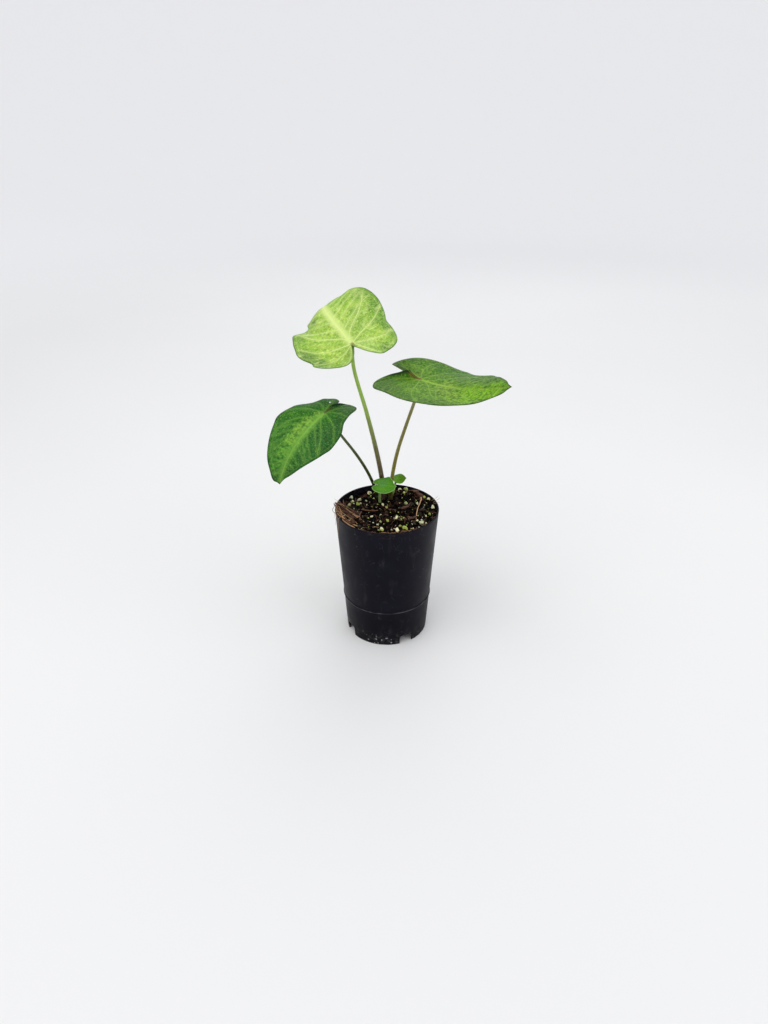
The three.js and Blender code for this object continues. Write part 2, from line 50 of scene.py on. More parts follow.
MM = 0.001
POT_LOW, POT_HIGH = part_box("pot")
AXIS = np.array([(POT_LOW.x + POT_HIGH.x) / 2, (POT_LOW.y + POT_HIGH.y) / 2, 0]) / MM

# The camera stands as it did for the photo: its place in mm, its pitch below level, its focal length and the
# picture's height in pixels, and the sensor's height in mm. The lights face the middle of the plant.
CAMERA_PLACE = (-2.2, -448.5, 347.2)
CAMERA_PITCH = 29.05
FOCAL_PIXELS = 705
PICTURE_HEIGHT = 1024
SENSOR = 36.0
PLANT_MIDDLE = (0, 0, 130)

# Soft lights, as name, place in mm, width in metres, power in watts and how white they are, and the light
# from all round.
LIGHTS = (
    ("key_light", (-500, -500, 1300), 1.2, 7.8, 0.985),
    ("fill_light", (900, -500, 700), 1.0, 2.6, 1.0),
    ("back_light", (200, 1000, 1000), 1.0, 3.2, 1.0),
)
SKY = (0.97, 0.98, 1, 1)
SKY_STRENGTH = 0.76

# Pot: the same sizes as its frame.
POT_HEIGHT = POT_HIGH.z / MM
RIM_RADIUS = (POT_HIGH.x - POT_LOW.x) / 2 / MM
BASE_RADIUS = 30.75
WALL = 1.0
FLOOR_UNDERSIDE = 5.0
FLOOR_THICKNESS = 1.2
BEAD_HEIGHT = 31.0
BEAD_HALF_WIDTH = 0.9
BEAD_PROUD = 0.5
NOTCH_BEARINGS = (28, 118, 208, 298)
NOTCH_WIDTH = 10.5
NOTCH_HEIGHT = 7.5
NOTCH_CORNER = 2.0
NOTCH_INNER_RADIUS = 27.0
NOTCH_OUTER_RADIUS = 34.0
POT_SIDES = 256

# Soil: a surface that sinks at the back left and lies near the rim elsewhere.
SOIL_LEVEL = 100.3
SOIL_FRONT_LIFT = 0.02
HOLLOW_DEPTH = 3.6
HOLLOW_CENTRE = (-20, 22)
HOLLOW_RADIUS = 20.0
SOIL_BOTTOM = FLOOR_UNDERSIDE + FLOOR_THICKNESS + 0.3
STALKS_CENTRE = (-1, 20)
STALKS_CLEARANCE = 6.0

# How many loose bits lie scattered on the soil.
CRUMB_COUNT = 760
FINE_PERLITE_COUNT = 170
SMALL_CHIP_COUNT = 34
LOOSE_FIBRE_COUNT = 150

# Perlite grains that stand out, as x, y and radius, the same as in the frame.
PERLITE = (
    (-27.3, 22.5, 1.4), (-20.9, 21.6, 1.5), (-21.4, 12.7, 1.4), (-28, 9, 1.3), (-13.4, 31, 1.5),
    (-3, 9.5, 1.3), (13.7, 10.3, 1.6), (9.8, 32, 1.4), (14.5, 30.5, 1.6), (12.9, 26.5, 1.3),
    (27.8, 18.1, 1.4), (31, 15.5, 1.2), (33.5, 2.2, 1.4), (30.5, -8.1, 1.3), (22.2, 7.8, 1.2),
    (6.1, -14.4, 1.6), (0.6, -17.5, 1.4), (-4.6, -8.3, 1), (-11.1, -11, 0.9), (-3.6, -30.2, 1.6),
    (6.8, -32, 2), (12.4, -29.7, 2), (23.9, -20.7, 1.4), (8.8, -25.2, 1.1), (-6.8, -23.7, 1.1),
)

# Bark chips that stand out, as x, y, bearing, length, width and thickness, the same as in the frame.
BARK = (
    (19, 28, -25, 11, 3, 1.6), (26, 22.5, -40, 9, 3.2, 1.5), (12, 2, 15, 8, 2.4, 1.4),
    (3, -1, -10, 7, 2.6, 1.3), (18, -14, 20, 6, 2.2, 1.3), (-16, 3, 60, 7, 2.2, 1.2), (25, -2, 70, 6, 2, 1.2),
)

# Roots at the left: a bundle that curls up to the rim, and one that follows the rim, each as its middle
# strand with the number of strands and how far they spread at its two ends.
ROOT_BUNDLES = (
    (((-15.5, -18.5, 100.2), (-21, -13, 101.5), (-27.5, -6, 102.4), (-33.5, 0.5, 103), (-37.6, 6.4, 102.6)),
     20, 6.5, 2.4),
    (((-21, -26.5, 101.8), (-28, -21, 102.8), (-33, -13, 103.1), (-36.2, -5, 103.2), (-37.5, 3, 103)),
     11, 2.2, 1.6),
)

# Single roots that stand out, each as points and a tint, of which the first is pale.
SINGLE_ROOTS = (
    (((25.5, 17, 101), (25, 10, 102.2), (22.5, 0, 101.8), (21, -9, 101.6), (20.5, -16, 100.6)),
     (0.98, 0.9, 0.9)),
    (((-32.6, 20, 97.5), (-32.2, 12, 100.6), (-31.4, 3, 101.6)), (0.55, 0.5, 0.5)),
    (((-18.5, -1, 100.6), (-14, -4, 101.6), (-9, -4.6, 101.7), (-4, -1.5, 101)), (0.55, 0.5, 0.5)),
    (((-18.5, -4, 100.5), (-19.5, -11, 101.6), (-18.5, -20, 100.8)), (0.55, 0.5, 0.5)),
)

# Mats of thin fibres, one at the back right and one along the front rim: how many, 1 for the back or -1 for
# the front, bearings, distances from the axis, how far their headings stray, lengths and tone.
FIBRE_MATS = (
    (46, 1, (28, 66), (28, 35.5), 0.35, (5, 13), 0.1),
    (60, -1, (-60, 75), (34, 36), 0.5, (2, 6), 0.75),
)

# Fibres that hang over the rim, each as three points: on the soil, over the rim and down outside.
HANGING = (
    ((-31, -9, 101.8), (-35.6, -12.8, 103), (-36.8, -14, 95)),
    ((-29, -14, 101.8), (-33.6, -17.2, 103), (-34.6, -18.6, 90)),
    ((-32, -6, 102), (-36.6, -9.6, 103.1), (-37.9, -10.4, 99)),
    ((34, 8, 101.5), (36.8, 9, 103), (39, 10, 104.2)),
    ((33, 11, 101.5), (36.2, 12, 103.2), (38, 13, 105)),
    ((34, 5, 102), (37, 5.6, 103), (38.8, 6.4, 102.6)),
    ((-34, 8, 101.8), (-37.6, 9.2, 103.2), (-39, 10, 103.8)),
)

# Half a leaf's outline in units of its midrib, from the tip into the notch at the back, as in the frame.
HALF_OUTLINE = (
    (1, 0), (0.9, 0.055), (0.72, 0.22), (0.45, 0.4), (0.15, 0.485), (-0.14, 0.47),
    (-0.36, 0.36), (-0.48, 0.2), (-0.4, 0.09), (-0.24, 0.035), (-0.12, 0),
)

# Main veins of one half in units of the midrib, for a leaf as wide as VEIN_WIDTH: those that spread from the
# stalk, with their half widths in mm, and where the laterals leave the midrib.
VEIN_WIDTH = 0.93
SPREADING_VEINS = (
    ((0.02, 0), (0.1, 0.035), (0.17, 0.1), (0.27, 0.2), (0.4, 0.268), (0.6, 0.31)),
    ((0, 0.01), (0.045, 0.12), (0.08, 0.22), (0.15, 0.32), (0.28, 0.42)),
    ((-0.01, 0.02), (-0.05, 0.1), (-0.075, 0.2), (-0.07, 0.32), (-0.02, 0.46)),
    ((-0.02, 0.02), (-0.1, 0.06), (-0.19, 0.11), (-0.28, 0.18), (-0.36, 0.3)),
)
SPREADING_HALF_WIDTHS = (0.62, 0.6, 0.5, 0.55)
LATERALS_AT = (0.17, 0.28, 0.38, 0.49, 0.6, 0.71, 0.81)
VEIN_REACH = 0.94

# The margin is rounded over MARGIN_BAND, with rings at these shares of it, and thins to MARGIN_THINNEST.
BLADE_THICKNESS = 0.5
MARGIN_BAND = 1.0
MARGIN_RINGS = (0.72, 0.45, 0.2, 0.06, 0)
MARGIN_THINNEST = 0.16
# The frame's margins run in short straight pieces, which lie a little inside the full curve.
MARGIN_INSET = 0.996

# Relief of a blade FULL_LENGTH long, in mm: the bulges between its veins and how far from a vein they begin,
# its puckers and their size, the groove over the midrib and its reach, and how far the midrib and the other
# veins stand out below. The relief and the ribs fade out toward the margin.
FULL_LENGTH = 70
BULGE = 0.3
BULGE_REACH = 2.6
PUCKER = 0.12
PUCKER_SIZE = 3.2
GROOVE = 0.2
GROOVE_REACH = 0.9
MIDRIB = 0.8
RIB = 0.42
RELIEF_FADE = 3
RIB_FADE = 4

# Each leaf's shape, the same as in the frame: where its stalk joins, how its midrib points, its length and
# its shape factors, with bends in degrees per 10 mm and pairs for the right and left halves. The stalk's
# points run from below the soil to below the blade, with its radius at both ends.
LEAVES = (
    dict(
        name="leaf_top", at=(-23.5, 9.5, 219.5), heading=125.5, rise=23.5, roll=-53, length=75, width=0.93,
        back=0.52, spread=1.06, droop=0, droop_growth=3, lobe_droop=-9.5, fold=(-19, 11), cup=(-13.5, 15.5),
        twist=7.25, waves=((-1.25, -3), (1.25, -6.25), (1, -1.25), (0.5, 0.75), (0.5, -0.75), (0, -0.75)),
        nicks=(
            (0.885, 0.02, 0.18), (0.14, 0.035, -0.03), (0.29, 0.02, 0.06), (0.44, 0.025, -0.1),
            (0.795, 0.04, 0.04), (0.73, 0.025, -0.06), (0.06, 0.02, 0.08), (0.695, 0.015, 0.07),
            (0.94, 0.025, 0.04),
        ),
        curls=((0.5, 0.045, 4.25), (0.84, 0.02, 3), (0.64, 0.045, -2), (0.875, 0.02, -1.75)), lift=(-1, -2),
        rays=400, rings=80, under_rings=40,
        stalk=(
            (-2.4, 21.5, 90), (-2.2, 21.8, 99), (-4.1, 20.5, 117.5), (-8.5, 18, 142.5), (-14.3, 15, 169),
            (-22.6, 11.5, 203),
        ),
        stalk_radius=(1.9, 1.2),
    ),
    dict(
        name="leaf_right", at=(21.5, -9.5, 201.5), heading=-41, rise=-4, roll=9.5, length=70.5, width=0.92,
        back=0.94, spread=0.9, droop=-4.5, droop_growth=0.2, lobe_droop=7, fold=(2, 1), cup=(2, -1),
        twist=3, waves=((-2.5, -2.5), (1.75, -2), (0, -3.5), (0, -0.5)),
        nicks=(
            (0.965, 0.02, -0.03), (0.03, 0.015, -0.04), (0.18, 0.05, -0.09), (0.455, 0.02, 0.16),
            (0.775, 0.015, -0.03), (0.18, 0.02, 0.05),
        ),
        curls=((0.115, 0.035, 1), (0.34, 0.075, 1), (0.56, 0.045, 1.5), (0.905, 0.02, -0.75)),
        lift=(0.5, -4.5), rays=400, rings=80, under_rings=40,
        stalk=(
            (3.2, 19.5, 90), (2.6, 18.8, 99), (4, 14, 121), (7.5, 8, 143), (13, 1, 165.5), (18, -5, 184.5),
        ),
        stalk_radius=(1.45, 1.05),
    ),
    dict(
        name="leaf_left", at=(-42, -3, 176), heading=229, rise=-18.5, roll=-11.5, length=57.5, width=0.78,
        back=0.8, spread=0.76, droop=7.75, droop_growth=1.8, lobe_droop=14.5, fold=(15, 5), cup=(3, 1),
        twist=1.75, waves=((2, 2), (3.75, 5), (-0.25, 2.25), (0, 0), (0, 0), (0, 0.75)),
        nicks=(
            (0.715, 0.025, 0.08), (0.96, 0.025, -0.03), (0.03, 0.015, -0.04), (0.58, 0.045, -0.11),
            (0.19, 0.02, -0.04), (0.235, 0.025, 0.04),
        ),
        curls=((0, 0.03, 0.75), (0.38, 0.015, -1), (0.55, 0.02, -1), (0.805, 0.02, -1)), lift=(-1.5, -3.25),
        rays=360, rings=70, under_rings=36,
        stalk=(
            (-6.3, 23.5, 90), (-7, 23.6, 99), (-11, 19.5, 113.5), (-16, 15.5, 126.5), (-23, 11, 140.5),
            (-31.5, 6, 155),
        ),
        stalk_radius=(1.2, 0.95),
    ),
    dict(
        name="leaf_small_front", at=(-5.4, 9, 115.5), heading=-10.5, rise=-1, roll=15.5, length=14.5,
        width=1.06, back=0.76, spread=0.96, droop=-1, droop_growth=0, lobe_droop=17, fold=(-6, 9),
        cup=(-0.5, -3), twist=0, waves=((0, 0), (0, -1)), nicks=((0.965, 0.07, 0.13), (0.005, 0.045, 0.15)),
        curls=((0.825, 0.045, 1.75),), lift=(-0.5, 1.75),
        rays=200, rings=36, under_rings=20,
        stalk=((-4.8, 15.5, 90), (-5.3, 14.6, 98.5), (-5.3, 12, 106.5)),
        stalk_radius=(1, 0.8),
    ),
    dict(
        name="leaf_small_back", at=(7, 29, 111), heading=5, rise=0.5, roll=12, length=8, width=1.3,
        back=0.6, spread=1.14, droop=2.75, droop_growth=0, lobe_droop=1.5, fold=(-6, -1), cup=(0, 0),
        twist=0, waves=((0, 0), (0, -1.5)), nicks=(), curls=(), lift=(0, -3.5),
        rays=160, rings=30, under_rings=16,
        stalk=((3.2, 24.8, 90), (4.4, 25.2, 98.5), (5.8, 27, 105)),
        stalk_radius=(0.9, 0.65),
    ),
)

# The height where the stalks leave the tuber, and the sheath at each stalk's foot: its height over the soil
# and the share by which it is thicker. The flare under the blade and the ribs are shares of the radius too.
TUBER_CROWN = 84.3
SHEATH_HEIGHT = 16.0
SHEATH_SHARE = 0.2
FLARE_SHARE = 0.3
STALK_RIBS = 7
STALK_RIB_SHARE = 0.022

# Water drops on the left leaf, as place ahead of and beside the stalk in units of the midrib, and radius.
DROPS = ((0.806, -0.041, 1.15), (-0.186, 0.094, 0.9))


# Shapes in general


def smoothstep(value, low, high):
    t = np.clip((value - low) / (high - low), 0, 1)
    return t * t * (3 - 2 * t)


def lattice_noise(points, size, seed):
    """Smooth noise from -1 to 1 whose bumps are about size across."""
    scaled = points / size
    cell = np.floor(scaled).astype(np.int64)
    t = scaled - cell
    t = t * t * (3 - 2 * t)
    total = np.zeros(len(points))
    for corner in itertools.product((0, 1), repeat=3):
        key = (cell + corner) @ np.array([374761393, 668265263, 1440662683]) + seed * 1274126177
        key = (key ^ (key >> 13)) * 1103515245
        value = ((key ^ (key >> 16)) & 0xFFFF) / 0xFFFF
        total += value * np.prod(np.where(corner, t, 1 - t), axis=1)
    return 2 * total - 1


def rough_noise(points, size, seed, octaves=4):
    """Noise with finer and finer bumps laid over the first, each half as high."""
    layers = range(octaves)
    return sum(lattice_noise(points, size / 2**k, seed + k) / 2**k for k in layers)


def spaced(points, count):
    """Points evenly spaced along a line of points."""
    steps = np.linalg.norm(np.diff(points, axis=0), axis=1)
    run = np.concatenate([[0], np.cumsum(steps)])
    wanted = np.linspace(0, run[-1], count)
    return np.stack([np.interp(wanted, run, points[:, k]) for k in range(points.shape[1])], axis=1)


def smooth_curve(knots, count, power=0.5, fine=60):
    """A smooth curve through the knots. Power 0.5 follows uneven knots closely, 0 takes them as even."""
    knots = np.asarray(knots, float)
    ends = np.vstack([2 * knots[0] - knots[1], knots, 2 * knots[-1] - knots[-2]])
    gaps = np.linalg.norm(np.diff(ends, axis=0), axis=1) ** power
    t = np.linspace(0, 1, fine, endpoint=False)[:, None]
    parts = []
    for i in range(len(knots) - 1):
        a, b, c, d = ends[i : i + 4]
        before, here, after = gaps[i : i + 3]
        leave = ((b - a) / before - (c - a) / (before + here) + (c - b) / here) * here
        arrive = ((c - b) / here - (d - b) / (here + after) + (d - c) / after) * here
        part = (2 * t**3 - 3 * t**2 + 1) * b + (t**3 - 2 * t**2 + t) * leave
        parts.append(part + (3 * t**2 - 2 * t**3) * c + (t**3 - t**2) * arrive)
    return spaced(np.vstack(parts + [knots[-1:]]), count)


def frames_along(line):
    """Two directions square to a line at each of its points, carried along without twisting."""
    tangents = np.gradient(line, axis=0)
    tangents /= np.linalg.norm(tangents, axis=1)[:, None]
    first = np.cross(tangents[0], (0, 1, 0) if abs(tangents[0][1]) < 0.9 else (1, 0, 0))
    sides = [first / np.linalg.norm(first)]
    for tangent in tangents[1:]:
        side = sides[-1] - tangent * (sides[-1] @ tangent)
        sides.append(side / np.linalg.norm(side))
    sides = np.array(sides)
    return tangents, sides, np.cross(tangents, sides)


class Shape:
    """Points and faces that are gathered before they become one piece, with values kept at each point."""

    def __init__(self):
        self.points, self.faces, self.fields, self.count = [], [], {}, 0

    def add(self, points, faces, **fields):
        self.points.append(points)
        self.faces.extend([tuple(int(i) + self.count for i in face) for face in faces])
        for name, values in fields.items():
            self.fields.setdefault(name, []).append(np.broadcast_to(values, (len(points), 3)))
        self.count += len(points)


def ring_angles(count):
    """Even angles all the way round, in radians."""
    return np.arange(count) * 2 * np.pi / count


def ring_edges(count):
    """Each point of a closed ring with the one after it."""
    return [(i, (i + 1) % count) for i in range(count)]


def fan(centre, start, count, flip=False):
    """Three-sided faces between a centre and a closed ring of points."""
    faces = [(centre, start + b, start + a) for a, b in ring_edges(count)]
    return [face[::-1] for face in faces] if flip else faces


def grid_faces(rows, columns, start=0, flip=False):
    """Four-sided faces between rows of points that close round into rings."""
    faces = []
    for low in range(start, start + (rows - 1) * columns, columns):
        high = low + columns
        faces += [(low + a, low + b, high + b, high + a) for a, b in ring_edges(columns)]
    return [face[::-1] for face in faces] if flip else faces


def capped_faces(rows, columns, flip=False):
    """Faces of closed rings whose two ends meet in the two points that follow them."""
    first, last = rows * columns, rows * columns + 1
    faces = grid_faces(rows, columns, flip=flip) + fan(first, 0, columns, flip)
    return faces + fan(last, first - columns, columns, not flip)


def rings_along(line, radii, sides):
    """Rings of points round a line, with a radius for each ring or for each point of it."""
    _, across, up = frames_along(line)
    angle = ring_angles(sides)[:, None]
    ring = np.cos(angle) * across[:, None] + np.sin(angle) * up[:, None]
    return (line[:, None] + ring * radii[:, :, None]).reshape(-1, 3)


def add_tube(shape, line, radii, sides, **fields):
    """A closed tube along a line, with rounded-off ends."""
    tangents = frames_along(line)[0]
    caps = [line[0] - tangents[0] * radii[0] * 0.4, line[-1] + tangents[-1] * radii[-1] * 0.4]
    points = np.vstack([rings_along(line, radii[:, None], sides), caps])
    shape.add(points, capped_faces(len(line), sides), **fields)


def ball(levels):
    """A ball of near-even triangles, as points and faces."""
    made = bmesh.new()
    bmesh.ops.create_icosphere(made, subdivisions=levels, radius=1)
    points = np.array([v.co for v in made.verts], float)
    faces = [tuple(v.index for v in face.verts) for face in made.faces]
    made.free()
    return points, faces


def turned_by(draw):
    """A rotation drawn evenly, as rows."""
    square, _ = np.linalg.qr(draw.normal(size=(3, 3)))
    return square * np.sign(np.linalg.det(square))


def add_lump(shape, form, centre, size, draw, rough, **fields):
    """An uneven lump: the ball stretched to size, dented by noise and turned."""
    points, faces = form
    dents = 1 + rough * lattice_noise(points + draw.uniform(-50, 50, 3), 0.9, 5)
    points = points * dents[:, None] * size
    shape.add(points @ turned_by(draw) + centre, faces, **fields)


def make_mesh(name, points, faces):
    """A smooth mesh from points in mm round the pot's axis."""
    mesh = bpy.data.meshes.new(name)
    mesh.from_pydata((np.asarray(points) + AXIS) * MM, [], faces)
    mesh.polygons.foreach_set("use_smooth", np.ones(len(mesh.polygons), bool))
    return mesh


def put_in_scene(name, data):
    made = bpy.data.objects.new(name, data)
    bpy.context.scene.collection.objects.link(made)
    return made


def make_piece(name, shape, material, replaces=(), sharp=None):
    """Turns a gathered shape into a piece that rides with the plant."""
    mesh = make_mesh(name, np.vstack(shape.points), shape.faces)
    for field, values in shape.fields.items():
        layer = mesh.attributes.new(field, "FLOAT_VECTOR", "POINT")
        layer.data.foreach_set("vector", np.vstack(values).astype(np.float32).ravel())
    if sharp is not None:
        mesh.set_sharp_from_angle(angle=math.radians(sharp))
    mesh.materials.append(material)
    mesh.update()
    piece = put_in_scene(name, mesh)
    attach(piece, "root")
    if replaces:
        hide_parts(*replaces)
    return piece


# Materials


def as_light(tone):
    """A colour as seen on a screen, from 0 to 255, as light."""
    values = np.array(tone) / 255
    return tuple(np.where(values <= 0.04045, values / 12.92, ((values + 0.055) / 1.055) ** 2.4)) + (1,)


class Graph:
    """A material's nodes, with a short call for each kind that is used here."""

    def __init__(self, name, roughness=0.5, specular=0.5):
        self.colour = None
        self.material = bpy.data.materials.new(name)
        self.material.use_nodes = True
        self.tree = self.material.node_tree
        self.shader = self.tree.nodes["Principled BSDF"]
        self.set({"Roughness": roughness, "Specular IOR Level": specular})

    def set(self, values):
        """Sets values that are the same all over the surface."""
        for key, value in values.items():
            self.shader.inputs[key].default_value = value

    def let_light_in(self, weight, depths, scale):
        """Lets light spread below the surface, by depths for red, green and blue, in mm."""
        self.set({"Subsurface Weight": weight, "Subsurface Radius": depths, "Subsurface Scale": scale * MM})

    def put(self, socket, value):
        """Links a value or sets it. A colour of three numbers is as seen on a screen."""
        if isinstance(value, bpy.types.NodeSocket):
            self.tree.links.new(value, socket)
        else:
            seen = socket.type == "RGBA" and len(value) == 3
            socket.default_value = as_light(value) if seen else value

    def add(self, kind, output=0, inputs=(), **settings):
        node = self.tree.nodes.new("ShaderNode" + kind)
        for key, value in settings.items():
            setattr(node, key, value)
        for key, value in dict(inputs).items():
            self.put(node.inputs[key], value)
        return node.outputs[output]

    def math(self, operation, a, b=0.0):
        return self.add("Math", inputs={0: a, 1: b}, operation=operation)

    def times(self, a, b):
        return self.math("MULTIPLY", a, b)

    def plus(self, a, b):
        return self.math("ADD", a, b)

    def apart(self, a, b=0.0):
        """How far a is from b, without its sign."""
        return self.math("ABSOLUTE", self.math("SUBTRACT", a, b))

    def vector(self, operation, a, b=(0, 0, 0), output=0):
        return self.add("VectorMath", output, {0: a, 1: b}, operation=operation)

    def scaled(self, a, factors):
        return self.vector("MULTIPLY", a, factors)

    def step(self, value, low, high, first=0.0, last=1.0):
        """Goes smoothly from first to last as the value goes from low to high."""
        inputs = {"Value": value, "From Min": low, "From Max": high, "To Min": first, "To Max": last}
        return self.add("MapRange", inputs=inputs, interpolation_type="SMOOTHSTEP")

    def mix(self, share, a, b):
        return self.add("Mix", 2, {0: share, 6: a, 7: b}, data_type="RGBA")

    def noise(self, place, size, detail=3.0, rough=0.55, warp=0.0):
        """Noise from 0 to 1 whose bumps are about size across, in the units of the place."""
        inputs = {"Vector": place, "Scale": 1 / size, "Detail": detail}
        inputs.update({"Roughness": rough, "Distortion": warp})
        return self.add("TexNoise", inputs=inputs)

    def cells(self, place, size, feature="DISTANCE_TO_EDGE"):
        return self.add("TexVoronoi", inputs={"Vector": place, "Scale": 1 / size}, feature=feature)

    def field(self, name):
        return self.add("Attribute", output=1, attribute_name=name)

    def parts(self, vector):
        node = self.tree.nodes.new("ShaderNodeSeparateXYZ")
        self.tree.links.new(vector, node.inputs[0])
        return node.outputs

    def place(self):
        """Where a point of the object is, in mm."""
        where = self.add("NewGeometry", output=0)
        return self.scaled(where, (1 / MM, 1 / MM, 1 / MM))

    def bump(self, height, depth):
        """Relief of the given depth in mm for a height from 0 to 1."""
        return self.add("Bump", inputs={"Height": height, "Distance": depth * MM, "Strength": 1.0})

    def paint(self, share, tone):
        """Lays a tone over the colour so far."""
        self.colour = self.mix(share, self.colour, tone)

    def finish(self, **values):
        """Gives the shader its colour and the roughness and normal that vary over the surface."""
        for key, value in {"Base Color": self.colour, **values}.items():
            self.put(self.shader.inputs[key], value)
        return self.material


# Leaf blades


def flat_outline(leaf, rays):
    """The margin in units of the midrib, from the tip down the right half and back up the left."""
    half = np.array(HALF_OUTLINE, float)
    behind = half[:, 0] < 0
    half[:, 1] *= leaf["width"] * np.where(behind, leaf["spread"], 1)
    half[:, 0] *= np.where(behind, leaf["back"], 1)
    right = smooth_curve(half, rays // 2 + 1, power=0, fine=200)
    outline = np.vstack([right, right[1:-1][::-1] * (1, -1)])
    turn = np.arange(rays) / rays
    share = np.ones(rays)
    for at, wide, deep in leaf["nicks"]:
        share -= deep * np.exp(-(((turn - at) / wide) ** 2))
    return outline * share[:, None]


def leaf_axes(leaf):
    """The leaf's own axes as rows: ahead along the midrib, to its right, and up."""
    heading, rise, roll = (math.radians(leaf[key]) for key in ("heading", "rise", "roll"))
    ahead = np.array([math.cos(rise) * math.cos(heading), math.cos(rise) * math.sin(heading), math.sin(rise)])
    level = np.array([-math.sin(heading), math.cos(heading), 0])
    left = level * math.cos(roll) + np.cross(ahead, level) * math.sin(roll)
    return np.array([ahead, -left, np.cross(ahead, left)])


def blade_points(leaf, u, v, rho, turn):
    """Where flat points of the blade lie. u is ahead of the stalk and v to the right, in mm, and rho is the
    share of the way to the margin at turn round the leaf."""
    ten = math.radians(1) / 10
    ahead = np.maximum(u, 0)
    bend, growth = leaf["droop"] * ten, leaf["droop_growth"] * ten / 10
    along, down = np.zeros_like(u), np.zeros_like(u)
    steps = 24
    for i in range(steps):
        s = ahead * (i + 0.5) / steps
        along += np.cos(bend * s + growth * s * s / 2) * ahead / steps
        down += np.sin(bend * s + growth * s * s / 2) * ahead / steps
    lobe = leaf["lobe_droop"] * ten
    back = np.minimum(u, 0)
    along += np.sin(lobe * back) / lobe
    down += (1 - np.cos(lobe * back)) / lobe
    dip = bend * ahead + growth * ahead**2 / 2 + lobe * back
    right = v > 0
    fold = np.radians(np.where(right, *leaf["fold"]))
    cup = np.where(right, *leaf["cup"]) * ten
    cup = np.where(cup == 0, 1e-6, cup)
    lean = fold + cup * np.abs(v)
    across = (np.sin(lean) - np.sin(fold)) / cup
    up = (np.cos(fold) - np.cos(lean)) / cup
    up += np.where(right, *leaf["lift"]) * np.clip(-2 * u / leaf["length"], 0, 1.2) ** 1.5
    for i, (cosine, sine) in enumerate(leaf["waves"]):
        phase = 2 * np.pi * (i + 1) * turn
        up += rho**2 * (cosine * np.cos(phase) + sine * np.sin(phase))
    twist = leaf["twist"] * ten * u
    y = np.sign(v) * across * np.cos(twist) - up * np.sin(twist)
    z = np.sign(v) * across * np.sin(twist) + up * np.cos(twist)
    own = np.stack([along + z * np.sin(dip), y, z * np.cos(dip) - down], axis=1)
    for at, wide, high in leaf["curls"]:
        away = (turn - at + 0.5) % 1 - 0.5
        own[:, 2] += high * np.exp(-((away / wide) ** 2)) * rho**3
    return own @ leaf_axes(leaf) + leaf["at"]


def vein_lines(leaf, outline):
    """The main veins but the midrib, each as flat points in mm and its half width at them."""
    angle = np.arctan2(outline[:, 1], outline[:, 0])
    radius = np.linalg.norm(outline, axis=1)
    order = np.argsort(angle)
    wide = leaf["width"] / VEIN_WIDTH

    def reach(points):
        there = np.arctan2(points[:, 1], points[:, 0])
        margin = np.interp(there, angle[order], radius[order], period=2 * np.pi)
        return np.linalg.norm(points, axis=1) / margin

    draw = np.random.default_rng(len(leaf["name"]) + int(leaf["length"]))
    lines = []
    for side in (1, -1):
        for knots, half_width in zip(SPREADING_VEINS, SPREADING_HALF_WIDTHS):
            knots = np.array(knots) * (1, wide * side)
            knots[:, 0] *= np.where(knots[:, 0] < 0, leaf["back"] + 0.4, 1)
            lines.append((smooth_curve(knots, 60), half_width))
        for n, at in enumerate(LATERALS_AT):
            t = np.linspace(0, 0.5, 60)
            start = at + (0.035 if side < 0 else 0) + draw.uniform(-0.02, 0.02)
            lean, bow = draw.uniform(0.7, 1.0), draw.uniform(0.2, 0.7)
            line = np.stack([start + lean * t + bow * t * t, side * wide * t], axis=1)
            lines.append((line, (0.46 - 0.03 * n) * draw.uniform(0.5, 1.1)))
    veins = []
    for line, width in lines:
        line = line[reach(line) < VEIN_REACH]
        taper = np.linspace(1, 0.3, len(line))
        veins.append((line * leaf["length"], width * taper * (leaf["length"] / FULL_LENGTH) ** 0.5))
    return veins


def nearest_on(lines, flat):
    """For flat points: signed and plain distance to the nearest vein, and that vein's half width there."""
    best = np.full(len(flat), 1e9)
    signed, width = np.zeros(len(flat)), np.zeros(len(flat))
    for line, widths in lines:
        for a, step, near_width in zip(line[:-1:2], line[2::2] - line[:-2:2], widths[:-2:2]):
            if np.linalg.norm(step) == 0:
                continue
            offset = flat - a
            t = np.clip(offset @ step / (step @ step), 0, 1)
            gap = offset - t[:, None] * step
            distance = np.linalg.norm(gap, axis=1)
            closer = distance < best
            best[closer] = distance[closer]
            side = np.sign(step[0] * offset[closer, 1] - step[1] * offset[closer, 0])
            signed[closer] = side * distance[closer]
            width[closer] = near_width
    return signed, best, width


def face_normals(points, rings, rays):
    """Upward normals of a polar grid of points, whose first point is its middle."""
    grid = points[1:].reshape(rings, rays, 3)
    inner = np.concatenate([np.broadcast_to(points[0], (1, rays, 3)), grid[:-1]])
    outer = np.concatenate([grid[1:], grid[-1:]])
    out = outer - inner
    round_ = np.roll(grid, -1, axis=1) - np.roll(grid, 1, axis=1)
    normals = np.cross(round_, out)
    normals /= np.linalg.norm(normals, axis=2)[:, :, None]
    middle = normals[0].mean(axis=0)
    return np.vstack([middle / np.linalg.norm(middle), normals.reshape(-1, 3)])


def margin_band(leaf):
    """How wide the rounded margin is."""
    return MARGIN_BAND * min(1, leaf["length"] / 40)


